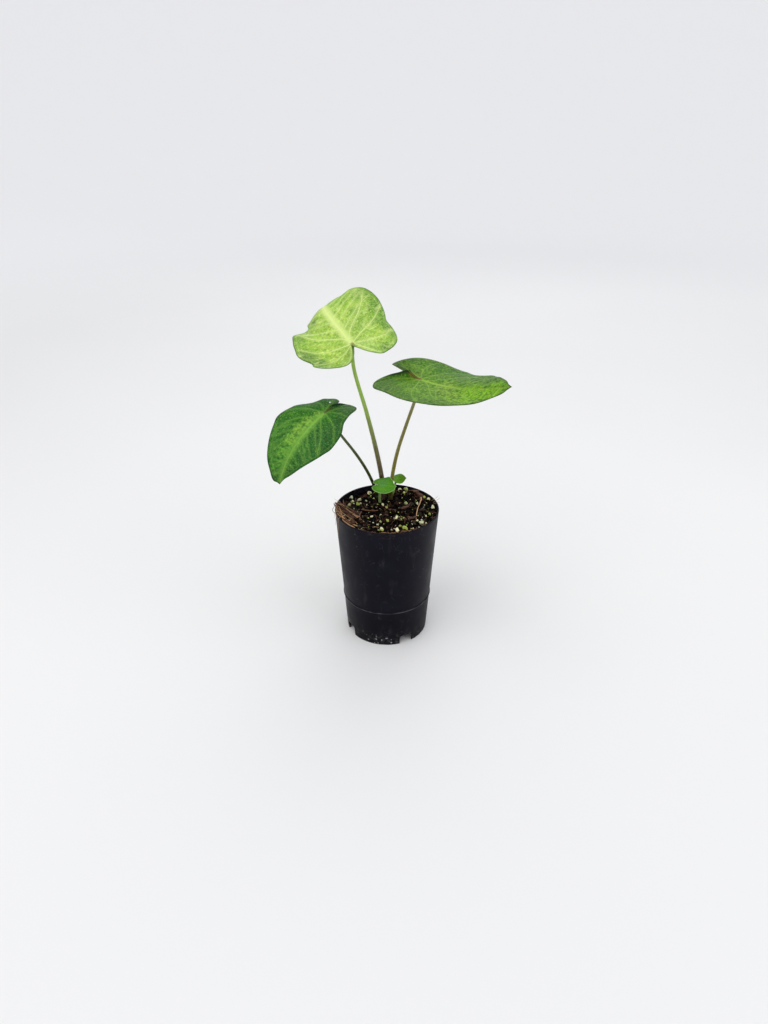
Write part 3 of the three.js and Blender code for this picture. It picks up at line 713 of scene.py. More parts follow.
def blade_side(leaf, rings):
    """One face of a blade before its thickness: points, normals, the flat place of each and the outline."""
    rays, length = leaf["rays"], leaf["length"]
    outline = flat_outline(leaf, rays) * length * MARGIN_INSET
    reach, band = np.linalg.norm(outline, axis=1), margin_band(leaf)
    inner = np.linspace(0, 1, rings + 1 - len(MARGIN_RINGS))[1:, None] * (reach - band)
    margin = reach - band * np.array(MARGIN_RINGS)[:, None]
    shares = np.vstack([inner, margin]) / reach
    rho = shares.ravel()
    turn = np.tile(np.arange(rays) / rays, len(shares))
    flat = np.tile(outline, (len(shares), 1)) * rho[:, None]
    flat = np.vstack([[0, 0], flat])
    rho, turn = np.append(0, rho), np.append(0, turn)
    points = blade_points(leaf, flat[:, 0], flat[:, 1], rho, turn)
    normals = face_normals(points, len(shares), rays)
    return points, normals, flat, outline


def blade_shape(leaf):
    """A thin blade: upper face, lower face with raised ribs, and a rounded margin between them."""
    shape = Shape()
    rays, length, band = leaf["rays"], leaf["length"], margin_band(leaf)
    scale = length / FULL_LENGTH
    seed = sum(map(ord, leaf["name"]))
    edge_starts = []
    for upper, rings in ((True, leaf["rings"]), (False, leaf["under_rings"])):
        points, normals, flat, outline = blade_side(leaf, rings)
        veins = vein_lines(leaf, outline / length)
        signed, distance, width = nearest_on(veins, flat)
        rim_line = [(np.vstack([outline, outline[:1]]), np.ones(rays + 1))]
        rim = nearest_on(rim_line, flat)[1]
        rim[-rays:] = 0
        middle = np.abs(flat[:, 1]) + np.where(flat[:, 0] < 0, -flat[:, 0], 0)
        left = np.clip(1 - flat[:, 0] / length, 0, 1)
        nearest = np.minimum(distance, middle)
        thin = 1 - np.clip(1 - rim / band, 0, 1) ** 2
        thickness = BLADE_THICKNESS * (MARGIN_THINNEST + (1 - MARGIN_THINNEST) * np.sqrt(thin))
        bulge = BULGE * scale * (1 - np.exp(-((nearest / (BULGE_REACH * scale)) ** 2)))
        pucker = PUCKER * scale * lattice_noise(np.c_[flat, flat[:, 0] * 0], PUCKER_SIZE * scale, seed)
        relief = (bulge + pucker) * smoothstep(rim, 0, RELIEF_FADE * scale)
        if upper:
            groove = GROOVE * scale * np.exp(-((middle / (GROOVE_REACH * scale)) ** 2)) * left
            lift = relief - groove - (BLADE_THICKNESS - thickness) / 2 - BULGE * scale
        else:
            midrib = MIDRIB * np.exp(-((middle / (0.5 + 0.65 * left * scale)) ** 2)) * (0.15 + 0.85 * left)
            rib = RIB * np.exp(-((distance / (0.35 + 0.8 * width)) ** 2)) * (width / 0.6)
            rib = (midrib + rib) * scale
            rib *= smoothstep(rim, 0, RIB_FADE * scale)
            lift = relief - rib - (BLADE_THICKNESS + thickness) / 2 - BULGE * scale
        points = points + normals * lift[:, None]
        flat_field = np.c_[flat, np.full(len(flat), float(upper))]
        vein_field = np.c_[signed, distance, width]
        faces = fan(0, 1, rays, not upper) + grid_faces(len(points) // rays, rays, 1, not upper)
        edge_starts.append(shape.count + len(points) - rays)
        shape.add(points, faces, flat=flat_field, vein=vein_field, rim=rim[:, None])
    top, bottom = edge_starts
    shape.faces += [(top + b, bottom + b, bottom + a, top + a) for a, b in ring_edges(rays)]
    return shape


# Leaf stalks


def seat_of(leaf):
    """Where the stalk ends, inside the rib below the blade."""
    rings = 12
    points, normals, *_ = blade_side(leaf, rings)
    return points[0] - normals[0] * (BLADE_THICKNESS + 0.5 * leaf["length"] / FULL_LENGTH)


def stalk_shape(leaf):
    """A slender stalk with shallow ribs, a wider sheath at its foot and a small flare under the blade."""
    foot = (*leaf["stalk"][0][:2], TUBER_CROWN)
    steps, sides = 160, 32
    line = smooth_curve([foot, *leaf["stalk"], seat_of(leaf)], steps)
    run = np.append(0, np.cumsum(np.linalg.norm(np.diff(line, axis=0), axis=1)))
    share = run / run[-1]
    sheath = 1 - smoothstep(line[:, 2] - SOIL_LEVEL, 0, SHEATH_HEIGHT)
    low, high = leaf["stalk_radius"]
    radius = (low + (high - low) * smoothstep(share, 0, 1)) * (1 + SHEATH_SHARE * sheath)
    radius = radius * (1 + FLARE_SHARE * smoothstep(run, run[-1] - 4 * high, run[-1]))
    angle = ring_angles(sides)
    drift = 1 + 0.025 * lattice_noise(np.c_[run, run * 0, run * 0], 6, 3)
    rib = 1 + STALK_RIB_SHARE * np.cos(STALK_RIBS * angle)
    points = rings_along(line, (radius * drift)[:, None] * rib, sides)
    faces = grid_faces(steps, sides)
    faces.append(tuple(range(sides))[::-1])
    faces.append(tuple(range((steps - 1) * sides, steps * sides)))
    around = np.c_[np.tile(np.cos(angle), steps), np.tile(np.sin(angle), steps), np.repeat(run, sides)]
    shape = Shape()
    shape.add(points, faces, along=np.repeat(share, sides)[:, None], around=around)
    return shape


# Pot


def outer_radius(z):
    return BASE_RADIUS + (RIM_RADIUS - BASE_RADIUS) * z / POT_HEIGHT


def inner_radius(z):
    return outer_radius(z) - WALL


def arc(centre, radius, start, end, count):
    """Points on an arc in the plane of a profile, angles in degrees from outward to up."""
    angle = np.radians(np.linspace(start, end, count))
    return np.c_[centre[0] + radius * np.cos(angle), centre[1] + radius * np.sin(angle)]


def pot_profile():
    """The pot's wall from the middle of its underside, round the foot and rim, to the middle of its floor."""
    floor_top = FLOOR_UNDERSIDE + FLOOR_THICKNESS
    foot, rim, bead = 0.35, WALL / 2, BEAD_HALF_WIDTH
    bead_at = np.linspace(-1, 1, 13)
    bead_out = BEAD_PROUD * np.cos(bead_at * np.pi / 2) ** 1.5
    bead_points = np.c_[outer_radius(BEAD_HEIGHT + bead * bead_at) + bead_out, BEAD_HEIGHT + bead * bead_at]
    return np.vstack([
        [(12, FLOOR_UNDERSIDE), (inner_radius(FLOOR_UNDERSIDE) - 0.8, FLOOR_UNDERSIDE)],
        arc((inner_radius(FLOOR_UNDERSIDE) - 0.6, FLOOR_UNDERSIDE - 0.6), 0.6, 90, 0, 5),
        arc((inner_radius(0) + foot, foot), foot, 180, 270, 5),
        arc((outer_radius(0) - foot, foot), foot, 270, 360, 5),
        [(outer_radius(z), z) for z in np.linspace(2, BEAD_HEIGHT - bead - 0.5, 16)],
        bead_points,
        [(outer_radius(z), z) for z in np.linspace(BEAD_HEIGHT + bead + 0.5, POT_HEIGHT - 1, 36)],
        arc((outer_radius(POT_HEIGHT) - rim, POT_HEIGHT - rim), rim, 8, 172, 13),
        [(inner_radius(z), z) for z in np.linspace(POT_HEIGHT - 1, floor_top + 1.2, 30)],
        arc((inner_radius(floor_top) - 1, floor_top + 1), 1, 0, -90, 6),
        [(12, floor_top)],
    ])


def pot_shape():
    profile = pot_profile()
    angle = ring_angles(POT_SIDES)
    radius = profile[:, :1] * np.ones(POT_SIDES)
    height = profile[:, 1:] * np.ones(POT_SIDES)
    spots = np.stack([30 * np.cos(angle) + height * 0, 30 * np.sin(angle) + height * 0, height], axis=2)
    waver = lattice_noise(spots.reshape(-1, 3), 26, 11).reshape(height.shape)
    radius = radius - 0.07 * (1 + waver) * smoothstep(height, 12, 30)
    points = np.stack([radius * np.cos(angle), radius * np.sin(angle), height], axis=2).reshape(-1, 3)
    middle = np.array([[0, 0, FLOOR_UNDERSIDE], [0, 0, FLOOR_UNDERSIDE + FLOOR_THICKNESS]])
    shape = Shape()
    shape.add(np.vstack([points, middle]), capped_faces(len(profile), POT_SIDES))
    return shape


def notch_shape(bearing):
    """A block with two rounded upper corners that reaches through the wall of the foot."""
    half, corner = NOTCH_WIDTH / 2, NOTCH_CORNER
    right = arc((half - corner, NOTCH_HEIGHT - corner), corner, 0, 90, 7)
    left = arc((corner - half, NOTCH_HEIGHT - corner), corner, 90, 180, 7)
    outline = np.vstack([[(-half, -2), (half, -2)], right, left])
    angle = math.radians(bearing)
    radial = np.array([math.sin(angle), -math.cos(angle), 0])
    across = np.array([math.cos(angle), math.sin(angle), 0])
    flat = outline[:, :1] * across + outline[:, 1:] * (0, 0, 1)
    count = len(outline)
    points = np.vstack([flat + radial * NOTCH_INNER_RADIUS, flat + radial * NOTCH_OUTER_RADIUS])
    faces = [tuple(range(count))[::-1], tuple(range(count, 2 * count)), *grid_faces(2, count)]
    shape = Shape()
    shape.add(points, faces)
    return shape


def cut_away(piece, shapes):
    """Takes closed shapes out of a piece."""
    shape = Shape()
    for part in shapes:
        shape.add(np.vstack(part.points), part.faces)
    cutter = put_in_scene("cutter", make_mesh("cutter", np.vstack(shape.points), shape.faces))
    cutter.data.shade_flat()
    modifier = piece.modifiers.new("notches", "BOOLEAN")
    modifier.operation, modifier.solver, modifier.object = "DIFFERENCE", "EXACT", cutter
    cut = bpy.data.meshes.new_from_object(piece.evaluated_get(bpy.context.evaluated_depsgraph_get()))
    piece.modifiers.clear()
    piece.data = cut
    bpy.data.objects.remove(cutter)
    cut.set_sharp_from_angle(angle=math.radians(50))


# Soil


def soil_level(x, y):
    away = np.hypot(x - HOLLOW_CENTRE[0], y - HOLLOW_CENTRE[1]) / HOLLOW_RADIUS
    return SOIL_LEVEL - SOIL_FRONT_LIFT * y - HOLLOW_DEPTH * np.exp(-away * away)


def soil_surface(x, y):
    spots = np.c_[x, y, x * 0]
    lumps = 0.55 * rough_noise(spots, 4.5, 21)
    crumbs = 0.25 * np.abs(rough_noise(spots, 1.3, 29, octaves=2))
    return soil_level(x, y) + lumps + crumbs - 0.25


def soil_height(x, y):
    return soil_surface(np.array([x]), np.array([y]))[0]


def soil_shape():
    rings, sides = 100, 300
    angle = ring_angles(sides)
    share = np.linspace(0, 1, rings + 1)[1:] ** 0.8
    radius = share[:, None] * (inner_radius(SOIL_LEVEL) - 0.05) * np.ones(sides)
    x, y = radius * np.cos(angle), radius * np.sin(angle)
    z = soil_surface(x.ravel(), y.ravel()).reshape(x.shape)
    x[-1], y[-1] = (inner_radius(z[-1]) - 0.1) * (np.cos(angle), np.sin(angle))
    low = inner_radius(SOIL_BOTTOM) - 0.3
    top = np.stack([x, y, z], axis=2).reshape(-1, 3)
    bottom = np.c_[low * np.cos(angle), low * np.sin(angle), np.full(sides, SOIL_BOTTOM)]
    middle = [[0, 0, soil_height(0, 0)], [0, 0, SOIL_BOTTOM]]
    shape = Shape()
    shape.add(np.vstack([top, bottom, middle]), capped_faces(rings + 1, sides, flip=True))
    return shape


def scatter(draw, count, reach):
    """Places on the soil out to a share of its radius."""
    radius = inner_radius(SOIL_LEVEL) * reach * np.sqrt(draw.random(count))
    angle = draw.uniform(0, 2 * np.pi, count)
    x, y = radius * np.cos(angle), radius * np.sin(angle)
    return x, y, soil_surface(x, y)


def off_stalks(x, y):
    return np.hypot(x - STALKS_CENTRE[0], y - STALKS_CENTRE[1]) > STALKS_CLEARANCE


def crumb_shape():
    draw = np.random.default_rng(31)
    form = ball(2)
    shape = Shape()
    for x, y, z in zip(*scatter(draw, CRUMB_COUNT, 0.965)):
        size = 0.45 + 1.35 * draw.random() ** 2.2
        stretch = draw.uniform(0.6, 1.2, 3) * size
        centre = (x, y, z + 0.1 * size)
        add_lump(shape, form, centre, stretch, draw, rough=0.45, tint=draw.random(3))
    return shape


def perlite_shape():
    """Crumbly grains, the large ones where they lie in the photo and finer ones between them."""
    draw = np.random.default_rng(47)
    form = ball(3)
    shape = Shape()
    for x, y, radius in PERLITE:
        z = soil_height(x, y)
        size = radius * draw.uniform(0.6, 1.2, 3)
        add_lump(shape, form, (x, y, z + radius * 0.35), size, draw, rough=0.6, tint=draw.random(3))
    x, y, z = scatter(draw, FINE_PERLITE_COUNT, 0.95)
    clear = off_stalks(x, y)
    for spot in zip(x[clear], y[clear], z[clear]):
        size = draw.uniform(0.2, 0.7) * draw.uniform(0.5, 1.4, 3)
        centre = (spot[0], spot[1], spot[2] + 0.2)
        add_lump(shape, form, centre, size, draw, rough=0.6, tint=draw.random(3))
    return shape


def bark_shape():
    """Flat chips of bark with split grain."""
    draw = np.random.default_rng(53)
    form = ball(3)
    shape = Shape()
    chips = list(BARK)
    for x, y, _ in zip(*scatter(draw, SMALL_CHIP_COUNT, 0.9)):
        if off_stalks(x, y):
            length = draw.uniform(2, 5)
            chips.append((x, y, draw.uniform(0, 180), length, length * 0.3, 0.7))
    for x, y, bearing, length, width, thickness in chips:
        points, faces = form
        box = np.sign(points) * np.abs(points) ** 0.55
        box = box * (1 + 0.18 * lattice_noise(points * (1, 4, 4) + draw.uniform(-9, 9, 3), 0.8, 3))[:, None]
        box = box * np.array([length, width, thickness]) * 0.5
        angle, tilt = math.radians(bearing), draw.uniform(-0.25, 0.25)
        turn = np.array(Matrix.Rotation(tilt, 3, "Y") @ Matrix.Rotation(-angle, 3, "Z"))
        placed = box @ turn + (x, y, soil_height(x, y) + thickness * 0.35)
        shape.add(placed, faces, tint=draw.random(3))
    return shape


def strayed(curve, amount, size, seed, apart, start=0):
    """A line moved a little by smooth noise, which differs for x, y and z."""
    shifts = [lattice_noise(curve + start + apart * k, size, seed) for k in range(3)]
    return curve + amount * np.stack(shifts, axis=1)


def root_shape():
    """Bundles of brown roots at the left rim, stray roots over the rim, and single roots that stand out."""
    draw = np.random.default_rng(61)
    shape = Shape()
    for middle, strands, low_spread, high_spread in ROOT_BUNDLES:
        middle = np.array(middle)
        across = np.cross(middle[-1] - middle[0], (0, 0, 1))
        across /= np.linalg.norm(across)
        for n in range(strands):
            side = draw.uniform(-1, 1)
            spread = np.linspace(low_spread, high_spread, len(middle)) * side
            line = middle + spread[:, None] * across
            line[:, 2] += draw.uniform(-0.5, 0.3) - 0.5 * abs(side)
            line[:-1] += draw.normal(0, 1.0, (len(line) - 1, 3)) * (1, 1, 0.35)
            curve = smooth_curve(line[int(draw.integers(0, 2)) :], 40)
            curve = strayed(curve, 0.35, 5, 3, 31, 7 * n)
            reach = np.hypot(curve[:, 0], curve[:, 1])
            hold = np.minimum(1, (inner_radius(POT_HEIGHT) - 0.3) / reach)
            inside = curve[:, 2] < POT_HEIGHT + 0.3
            curve[inside, :2] *= hold[inside, None]
            width = draw.uniform(0.12, 0.34)
            radii = width * (1 + 0.12 * lattice_noise(curve, 2.2, n)) * np.linspace(1, 0.7, len(curve))
            add_tube(shape, curve, radii, 8, tint=draw.random(3))
    for line in HANGING:
        curve = strayed(smooth_curve(line, 30), 0.25, 3, 7, 9)
        add_tube(shape, curve, np.linspace(0.16, 0.08, 30), 6, tint=(0.75, 0.5, 0.5))
    for line, tint in SINGLE_ROOTS:
        curve = strayed(smooth_curve(line, 50), 0.2, 4, 17, 9)
        add_tube(shape, curve, np.linspace(0.42, 0.25, 50), 8, tint=tint)
    return shape


def fibre_shape():
    """Thin fibres: loose ones all over, a rusty mat at the back right, and wisps along the front rim."""
    draw = np.random.default_rng(73)
    shape = Shape()
    x, y, z = scatter(draw, LOOSE_FIBRE_COUNT, 0.92)
    spots = [(spot, draw.uniform(0, np.pi), draw.uniform(3, 9), 0.5) for spot in zip(x, y, z)]
    for count, back, bearings, radii, stray, lengths, tone in FIBRE_MATS:
        for _ in range(count):
            bearing, radius = math.radians(draw.uniform(*bearings)), draw.uniform(*radii)
            spot = (radius * math.sin(bearing), back * radius * math.cos(bearing), 0)
            spots.append((spot, draw.normal(-back * bearing, stray), draw.uniform(*lengths), tone))
    for (x, y, _), heading, length, tone in spots:
        t = np.linspace(-0.5, 0.5, 14)
        bend = draw.normal(0, 0.35)
        path_x = x + length * (t * math.cos(heading) - bend * (t * t - 0.08) * math.sin(heading))
        path_y = y + length * (t * math.sin(heading) + bend * (t * t - 0.08) * math.cos(heading))
        reach = np.hypot(path_x, path_y)
        limit = np.minimum(1, (inner_radius(SOIL_LEVEL) - 0.5) / reach)
        path_x, path_y = path_x * limit, path_y * limit
        lift = draw.uniform(0.1, 0.5) + draw.uniform(0, 0.25) * length * np.abs(t) * (draw.random() < 0.25)
        path_z = soil_surface(path_x, path_y) + lift + 0.15 * draw.normal(0, 1, 14)
        line = smooth_curve(np.c_[path_x, path_y, path_z][::3], 14)
        radii = draw.uniform(0.08, 0.2) * np.linspace(1, 0.6, 14)
        add_tube(shape, line, radii, 5, tint=(tone * 0.55 + 0.4 * draw.random(), draw.random(), 0))
    return shape


def drop_shape(leaf):
    shape = Shape()
    points, faces = ball(3)
    outline = flat_outline(leaf, leaf["rays"]) * leaf["length"]
    angle = np.arctan2(outline[:, 1], outline[:, 0])
    for u, v, radius in DROPS:
        flat = np.array([[u, v], [u + 0.01, v], [u, v + 0.01]]) * leaf["length"]
        there = np.arctan2(flat[:, 1], flat[:, 0])
        nearest = [int(np.argmin(np.abs(np.angle(np.exp(1j * (angle - a)))))) for a in there]
        rho = np.linalg.norm(flat, axis=1) / np.linalg.norm(outline[nearest], axis=1)
        turn = np.array(nearest) / leaf["rays"]
        spot, ahead, beside = blade_points(leaf, flat[:, 0], flat[:, 1], rho, turn)
        normal = np.cross(beside - spot, ahead - spot)
        normal /= np.linalg.norm(normal)
        first = (ahead - spot) / np.linalg.norm(ahead - spot)
        second = np.cross(normal, first)
        dome = points * (1, 1, 0.55)
        dome[:, 2] = np.maximum(dome[:, 2], -0.2)
        shape.add(spot + radius * dome @ np.array([first, second, normal]), faces)
    return shape


# Looks of the materials

# Each blade's colours as seen on a screen: light, middle and dark greens, veins, margin, underside and seam.
# Then the strengths of its net, of the glow beside its veins, with the glow's reach in mm as halo, of its
# veins, streaks, midrib toward the tip and mottling, and its patches as place ahead and to the right in units
# of the midrib, radius in mm, colour and strength.
BLADE_LOOKS = dict(
    leaf_top=dict(
        light=(174, 204, 80), mid=(136, 180, 50), dark=(84, 138, 30), vein=(210, 228, 140),
        edge=(62, 96, 40), under=(150, 182, 92), seam=(122, 92, 58), net=0.3, glow=0.8, halo=5.0,
        lines=0.8, streak=0.6, rib=0.9, mottle=0.22,
        patches=(
            (0.55, -0.13, 3, (34, 92, 22), 0.9), (0.42, -0.3, 8, (84, 134, 38), 0.75),
            (0.02, 0.42, 9, (64, 122, 28), 0.85), (0.26, 0.42, 13, (64, 122, 26), 0.9),
            (0.5, 0.3, 9, (80, 132, 24), 0.85), (-0.04, -0.36, 8, (52, 108, 40), 0.9),
            (0.12, -0.42, 10, (66, 108, 40), 0.9), (-0.2, 0.24, 4, (46, 96, 30), 0.8),
            (0.15, 0.16, 12, (112, 154, 60), 0.6), (0.6, 0.1, 10, (122, 172, 34), 0.7),
            (0.32, 0.2, 5, (84, 132, 42), 0.65), (0.1, 0.3, 5, (84, 132, 54), 0.6),
            (0.85, 0, 11, (116, 170, 10), 0.75), (-0.1, 0.1, 9, (176, 206, 110), 0.6),
        ),
    ),
    leaf_right=dict(
        light=(90, 136, 26), mid=(58, 112, 12), dark=(26, 78, 8), vein=(134, 170, 60),
        edge=(34, 56, 28), under=(102, 134, 62), seam=(118, 56, 40), net=0.3, glow=0.3, halo=3.0,
        lines=0.62, streak=0.45, rib=0.22, mottle=0.5,
        patches=(
            (0.6, 0.1, 12, (112, 166, 0), 0.95), (0.82, 0.03, 9, (112, 168, 0), 0.95),
            (0.46, 0.14, 8, (112, 150, 30), 0.7), (0.94, -0.04, 5, (64, 124, 4), 0.85),
            (0.05, -0.3, 12, (40, 98, 14), 0.85), (0.2, -0.3, 12, (46, 102, 16), 0.8),
            (0.45, -0.22, 13, (54, 100, 42), 0.8), (0.68, -0.16, 8, (56, 98, 42), 0.75),
            (-0.25, 0.15, 12, (38, 90, 20), 0.85), (-0.1, 0.32, 9, (34, 78, 32), 0.8),
            (0.42, 0.28, 2, (14, 50, 14), 0.95), (0.3, 0.04, 9, (120, 148, 56), 0.65),
            (0.2, -0.38, 1.6, (18, 58, 20), 0.9), (-0.1, -0.05, 3, (98, 104, 40), 0.5),
        ),
    ),
    leaf_left=dict(
        light=(48, 114, 36), mid=(34, 94, 32), dark=(20, 72, 30), vein=(124, 174, 72),
        edge=(20, 48, 26), under=(86, 122, 58), seam=(96, 78, 50), net=0.2, glow=0.5, halo=4.5,
        lines=0.38, streak=0.35, rib=0.7, mottle=0.4,
        patches=(
            (0.3, -0.25, 14, (30, 80, 38), 0.9), (0.6, -0.16, 10, (38, 92, 42), 0.85),
            (0.05, -0.3, 10, (28, 74, 36), 0.85), (-0.2, -0.15, 8, (32, 78, 36), 0.7),
            (0.5, 0.22, 9, (48, 106, 36), 0.85), (0.22, 0.22, 12, (40, 102, 26), 0.8),
            (0.7, 0.12, 7, (64, 122, 44), 0.7), (-0.05, 0.2, 9, (26, 80, 32), 0.8),
            (0.5, 0.05, 5, (124, 174, 60), 0.85), (0.36, 0.05, 5, (132, 176, 64), 0.85),
            (0.22, 0.04, 4.5, (138, 178, 66), 0.85), (0.08, 0.03, 3.5, (128, 168, 66), 0.8),
            (0.64, 0.04, 4.5, (104, 162, 56), 0.8), (0.8, 0.03, 5, (84, 146, 50), 0.7),
        ),
    ),
    leaf_small_front=dict(
        light=(104, 166, 44), mid=(84, 150, 36), dark=(58, 116, 38), vein=(108, 164, 58),
        edge=(166, 206, 122), under=(122, 164, 76), seam=(96, 120, 56), net=0.12, glow=0.25, halo=1.0,
        lines=0.6, streak=0.45, rib=0.8, mottle=0.5,
        patches=((0.15, -0.1, 4, (92, 144, 92), 0.75), (0.5, 0.1, 3.5, (82, 156, 20), 0.75)),
    ),
    leaf_small_back=dict(
        light=(98, 156, 26), mid=(84, 138, 20), dark=(64, 112, 24), vein=(114, 164, 44),
        edge=(116, 156, 52), under=(110, 146, 64), seam=(96, 110, 48), net=0.12, glow=0.25, halo=0.8,
        lines=0.4, streak=0.2, rib=0.8, mottle=0.25,
        patches=((0.4, 0.1, 3, (68, 120, 18), 0.6),),
    ),
)

# Each stalk's colours from its foot to its blade, as the share of the way up at which each is reached.
STALK_LOOKS = dict(
    leaf_top=((0.12, (74, 58, 46)), (0.32, (98, 84, 58)), (0.5, (122, 130, 58)), (0.7, (152, 188, 76))),
    leaf_right=((0.14, (72, 66, 28)), (0.3, (124, 118, 46)), (0.7, (114, 108, 44)), (0.95, (136, 138, 74))),
    leaf_left=((0.15, (36, 38, 14)), (0.35, (52, 62, 14)), (0.7, (64, 80, 18)), (0.95, (76, 100, 28))),
    leaf_small_front=((0.2, (120, 142, 84)), (0.6, (138, 164, 100)), (0.9, (126, 158, 84))),
    leaf_small_back=((0.2, (96, 96, 56)), (0.6, (126, 146, 80)), (0.9, (116, 146, 70))),
)


def blade_skin(leaf):
    look = BLADE_LOOKS[leaf["name"]]
    length = leaf["length"]
    scale = length / FULL_LENGTH
    g = Graph(leaf["name"] + "_skin", specular=0.08)
    u, v, side = g.parts(g.field("flat"))
    signed, distance, width = g.parts(g.field("vein"))
    rim, _, _ = g.parts(g.field("rim"))
    flat = g.add("CombineXYZ", inputs={0: u, 1: v})
    broad = g.noise(flat, 9 * scale, 3)
    small = g.noise(flat, 2.4 * scale, 4)
    fine = g.noise(flat, 0.7 * scale, 3)
    g.colour = g.mix(g.step(broad, 0.36, 0.64), look["light"], look["mid"])
    inward = g.step(g.plus(rim, g.step(broad, 0.3, 0.7, -3 * scale, 3 * scale)), 0, 13 * scale, 0.75, 0)
    g.paint(inward, look["dark"])
    for ahead, beside, radius, tone, strength in look["patches"]:
        place = g.vector("DISTANCE", flat, (ahead * length, beside * length, 0), output=1)
        ragged = g.plus(place, g.step(small, 0.25, 0.75, -radius * 0.3, radius * 0.3))
        g.paint(g.step(ragged, radius * 0.35, radius * 1.15, strength, 0), tone)
    turn = g.math("ARCTAN2", v, u)
    reach = g.vector("LENGTH", flat, output=1)
    rays = g.add("CombineXYZ", inputs={0: g.times(turn, 7), 1: g.math("DIVIDE", reach, 13 * scale)})
    streaks = g.noise(rays, 0.8, 4, warp=0.4)
    g.paint(g.step(streaks, 0.5, 0.75, 0, look["streak"]), look["vein"])
    g.paint(g.step(streaks, 0.25, 0.5, look["streak"], 0), look["dark"])
    speckle = g.step(small, 0.46, 0.66, 0, 0.6)
    g.paint(speckle, look["dark"])
    flecks = g.noise(flat, 1.1 * scale, 3)
    g.paint(g.step(flecks, 0.54, 0.7, 0, 0.55), look["vein"])
    mottle = g.noise(flat, 1.7 * scale, 4, 0.7)
    shade = g.step(mottle, 0.36, 0.64, 1 - look["mottle"], 1 + 0.8 * look["mottle"])
    g.colour = g.add("VectorMath", inputs={0: g.colour, 3: shade}, operation="SCALE")

    # Veins: a pale midrib that narrows to the tip, main veins with a soft glow beside them, and a fine net.
    beside = g.apart(v)
    taper = g.step(u, 0, length, 1.0 * scale, 0.22 * scale)
    ahead_only = g.step(u, -1.2 * scale, 0.6 * scale)
    middle = g.times(g.step(g.math("DIVIDE", beside, taper), 0.4, 1.1, 1, 0), ahead_only)
    middle = g.times(middle, g.step(u, 0.25 * length, 0.6 * length, 1, look["rib"]))
    near = g.step(distance, 0.9 * scale, 1.6 * scale, 1, 0)
    faint = g.step(broad, 0.3, 0.65, 0.45 * look["lines"], look["lines"])
    main = g.step(g.math("DIVIDE", g.apart(signed), width), 0.3, 1.0, 1, 0)
    main = g.times(g.times(main, faint), near)
    halo_reach = g.step(u, 0.2 * length, length, look["halo"], look["halo"] * 0.35)
    halo = g.step(g.math("DIVIDE", beside, halo_reach), 0.15, 1, look["glow"], 0)
    halo = g.times(halo, ahead_only)
    side_glow = g.step(distance, 0.3 * scale, 2.2 * scale, look["glow"] * 0.35, 0)
    drift = g.add("TexNoise", output=1, inputs={"Vector": flat, "Scale": 0.5})
    warped = g.vector("ADD", flat, g.scaled(drift, (1.6 * scale, 1.6 * scale, 0)))
    coarse_net = g.step(g.cells(warped, 3.6 * scale), 0.02, 0.1, 0.7, 0)
    fine_net = g.step(g.cells(warped, 1.3 * scale), 0.02, 0.2, 0.5, 0)
    net = g.math("MAXIMUM", coarse_net, fine_net)
    near_rim = g.step(rim, 0.2 * scale, 1.8 * scale)
    loop = g.step(g.apart(rim, 2.1 * scale), 0.1 * scale, 0.4 * scale, 0.2, 0)
    g.paint(g.math("MAXIMUM", halo, side_glow), look["vein"])
    g.paint(g.times(net, look["net"]), look["vein"])
    g.paint(g.times(loop, near_rim), look["vein"])
    lines = g.math("MAXIMUM", middle, g.times(main, near_rim))
    g.paint(lines, look["vein"])

    # The seam from the stalk to the notch, a few dark specks and the thin margin.
    seam_end = leaf["back"] * 0.12 * length
    seam = g.times(g.step(beside, 0.3 * scale, 1.5 * scale, 0.8, 0), g.step(u, 0, 1.5 * scale, 1, 0))
    seam = g.times(seam, g.step(g.times(u, -1), 1.2 * seam_end, 2 * seam_end, 1, 0))
    g.paint(g.times(seam, g.step(fine, 0.25, 0.6, 0.55, 1)), look["seam"])
    specks = g.times(g.step(g.cells(flat, 5.2 * scale, "F1"), 0.03, 0.07, 0.65, 0), g.step(broad, 0.45, 0.6))
    g.paint(specks, tuple(0.5 * np.array(look["dark"])))
    margin = g.step(rim, 0.15 * scale, 0.75 * max(scale, 0.6), 0.9, 0)
    g.paint(margin, look["edge"])
    under = g.mix(0.62, g.colour, look["under"])
    g.colour = g.mix(side, under, g.colour)
    height = g.plus(g.times(net, -0.5), g.times(fine, 0.6))
    rough = g.step(small, 0.2, 0.8, 0.4, 0.58)
    g.let_light_in(0.16, (0.6, 1.0, 0.3), 0.5)
    return g.finish(Roughness=rough, Normal=g.bump(height, 0.12))


def stalk_skin(leaf):
    g = Graph(leaf["name"] + "_stalk_skin", specular=0.45)
    share, _, _ = g.parts(g.field("along"))
    streaks = g.noise(g.scaled(g.field("around"), (1, 1, 0.06)), 0.45, 4)
    blotches = g.noise(g.scaled(g.field("around"), (1, 1, 0.35)), 1.1, 3)
    tones = STALK_LOOKS[leaf["name"]]
    wander = g.plus(share, g.step(streaks, 0.25, 0.75, -0.07, 0.07))
    g.colour = tones[0][1]
    for (low, _), (high, tone) in zip(tones[:-1], tones[1:]):
        g.paint(g.step(wander, low, high), tone)
    dark = g.mix(0.45, g.colour, (0.012, 0.01, 0.006, 1))
    g.paint(g.step(streaks, 0.5, 0.72, 0, 0.4), dark)
    pale = g.mix(0.3, g.colour, (206, 214, 150))
    g.paint(g.step(blotches, 0.5, 0.75, 0, 0.5), pale)
    g.let_light_in(0.12, (0.8, 0.9, 0.3), 1)
    return g.finish(Roughness=g.step(blotches, 0.3, 0.7, 0.34, 0.5), Normal=g.bump(streaks, 0.05))


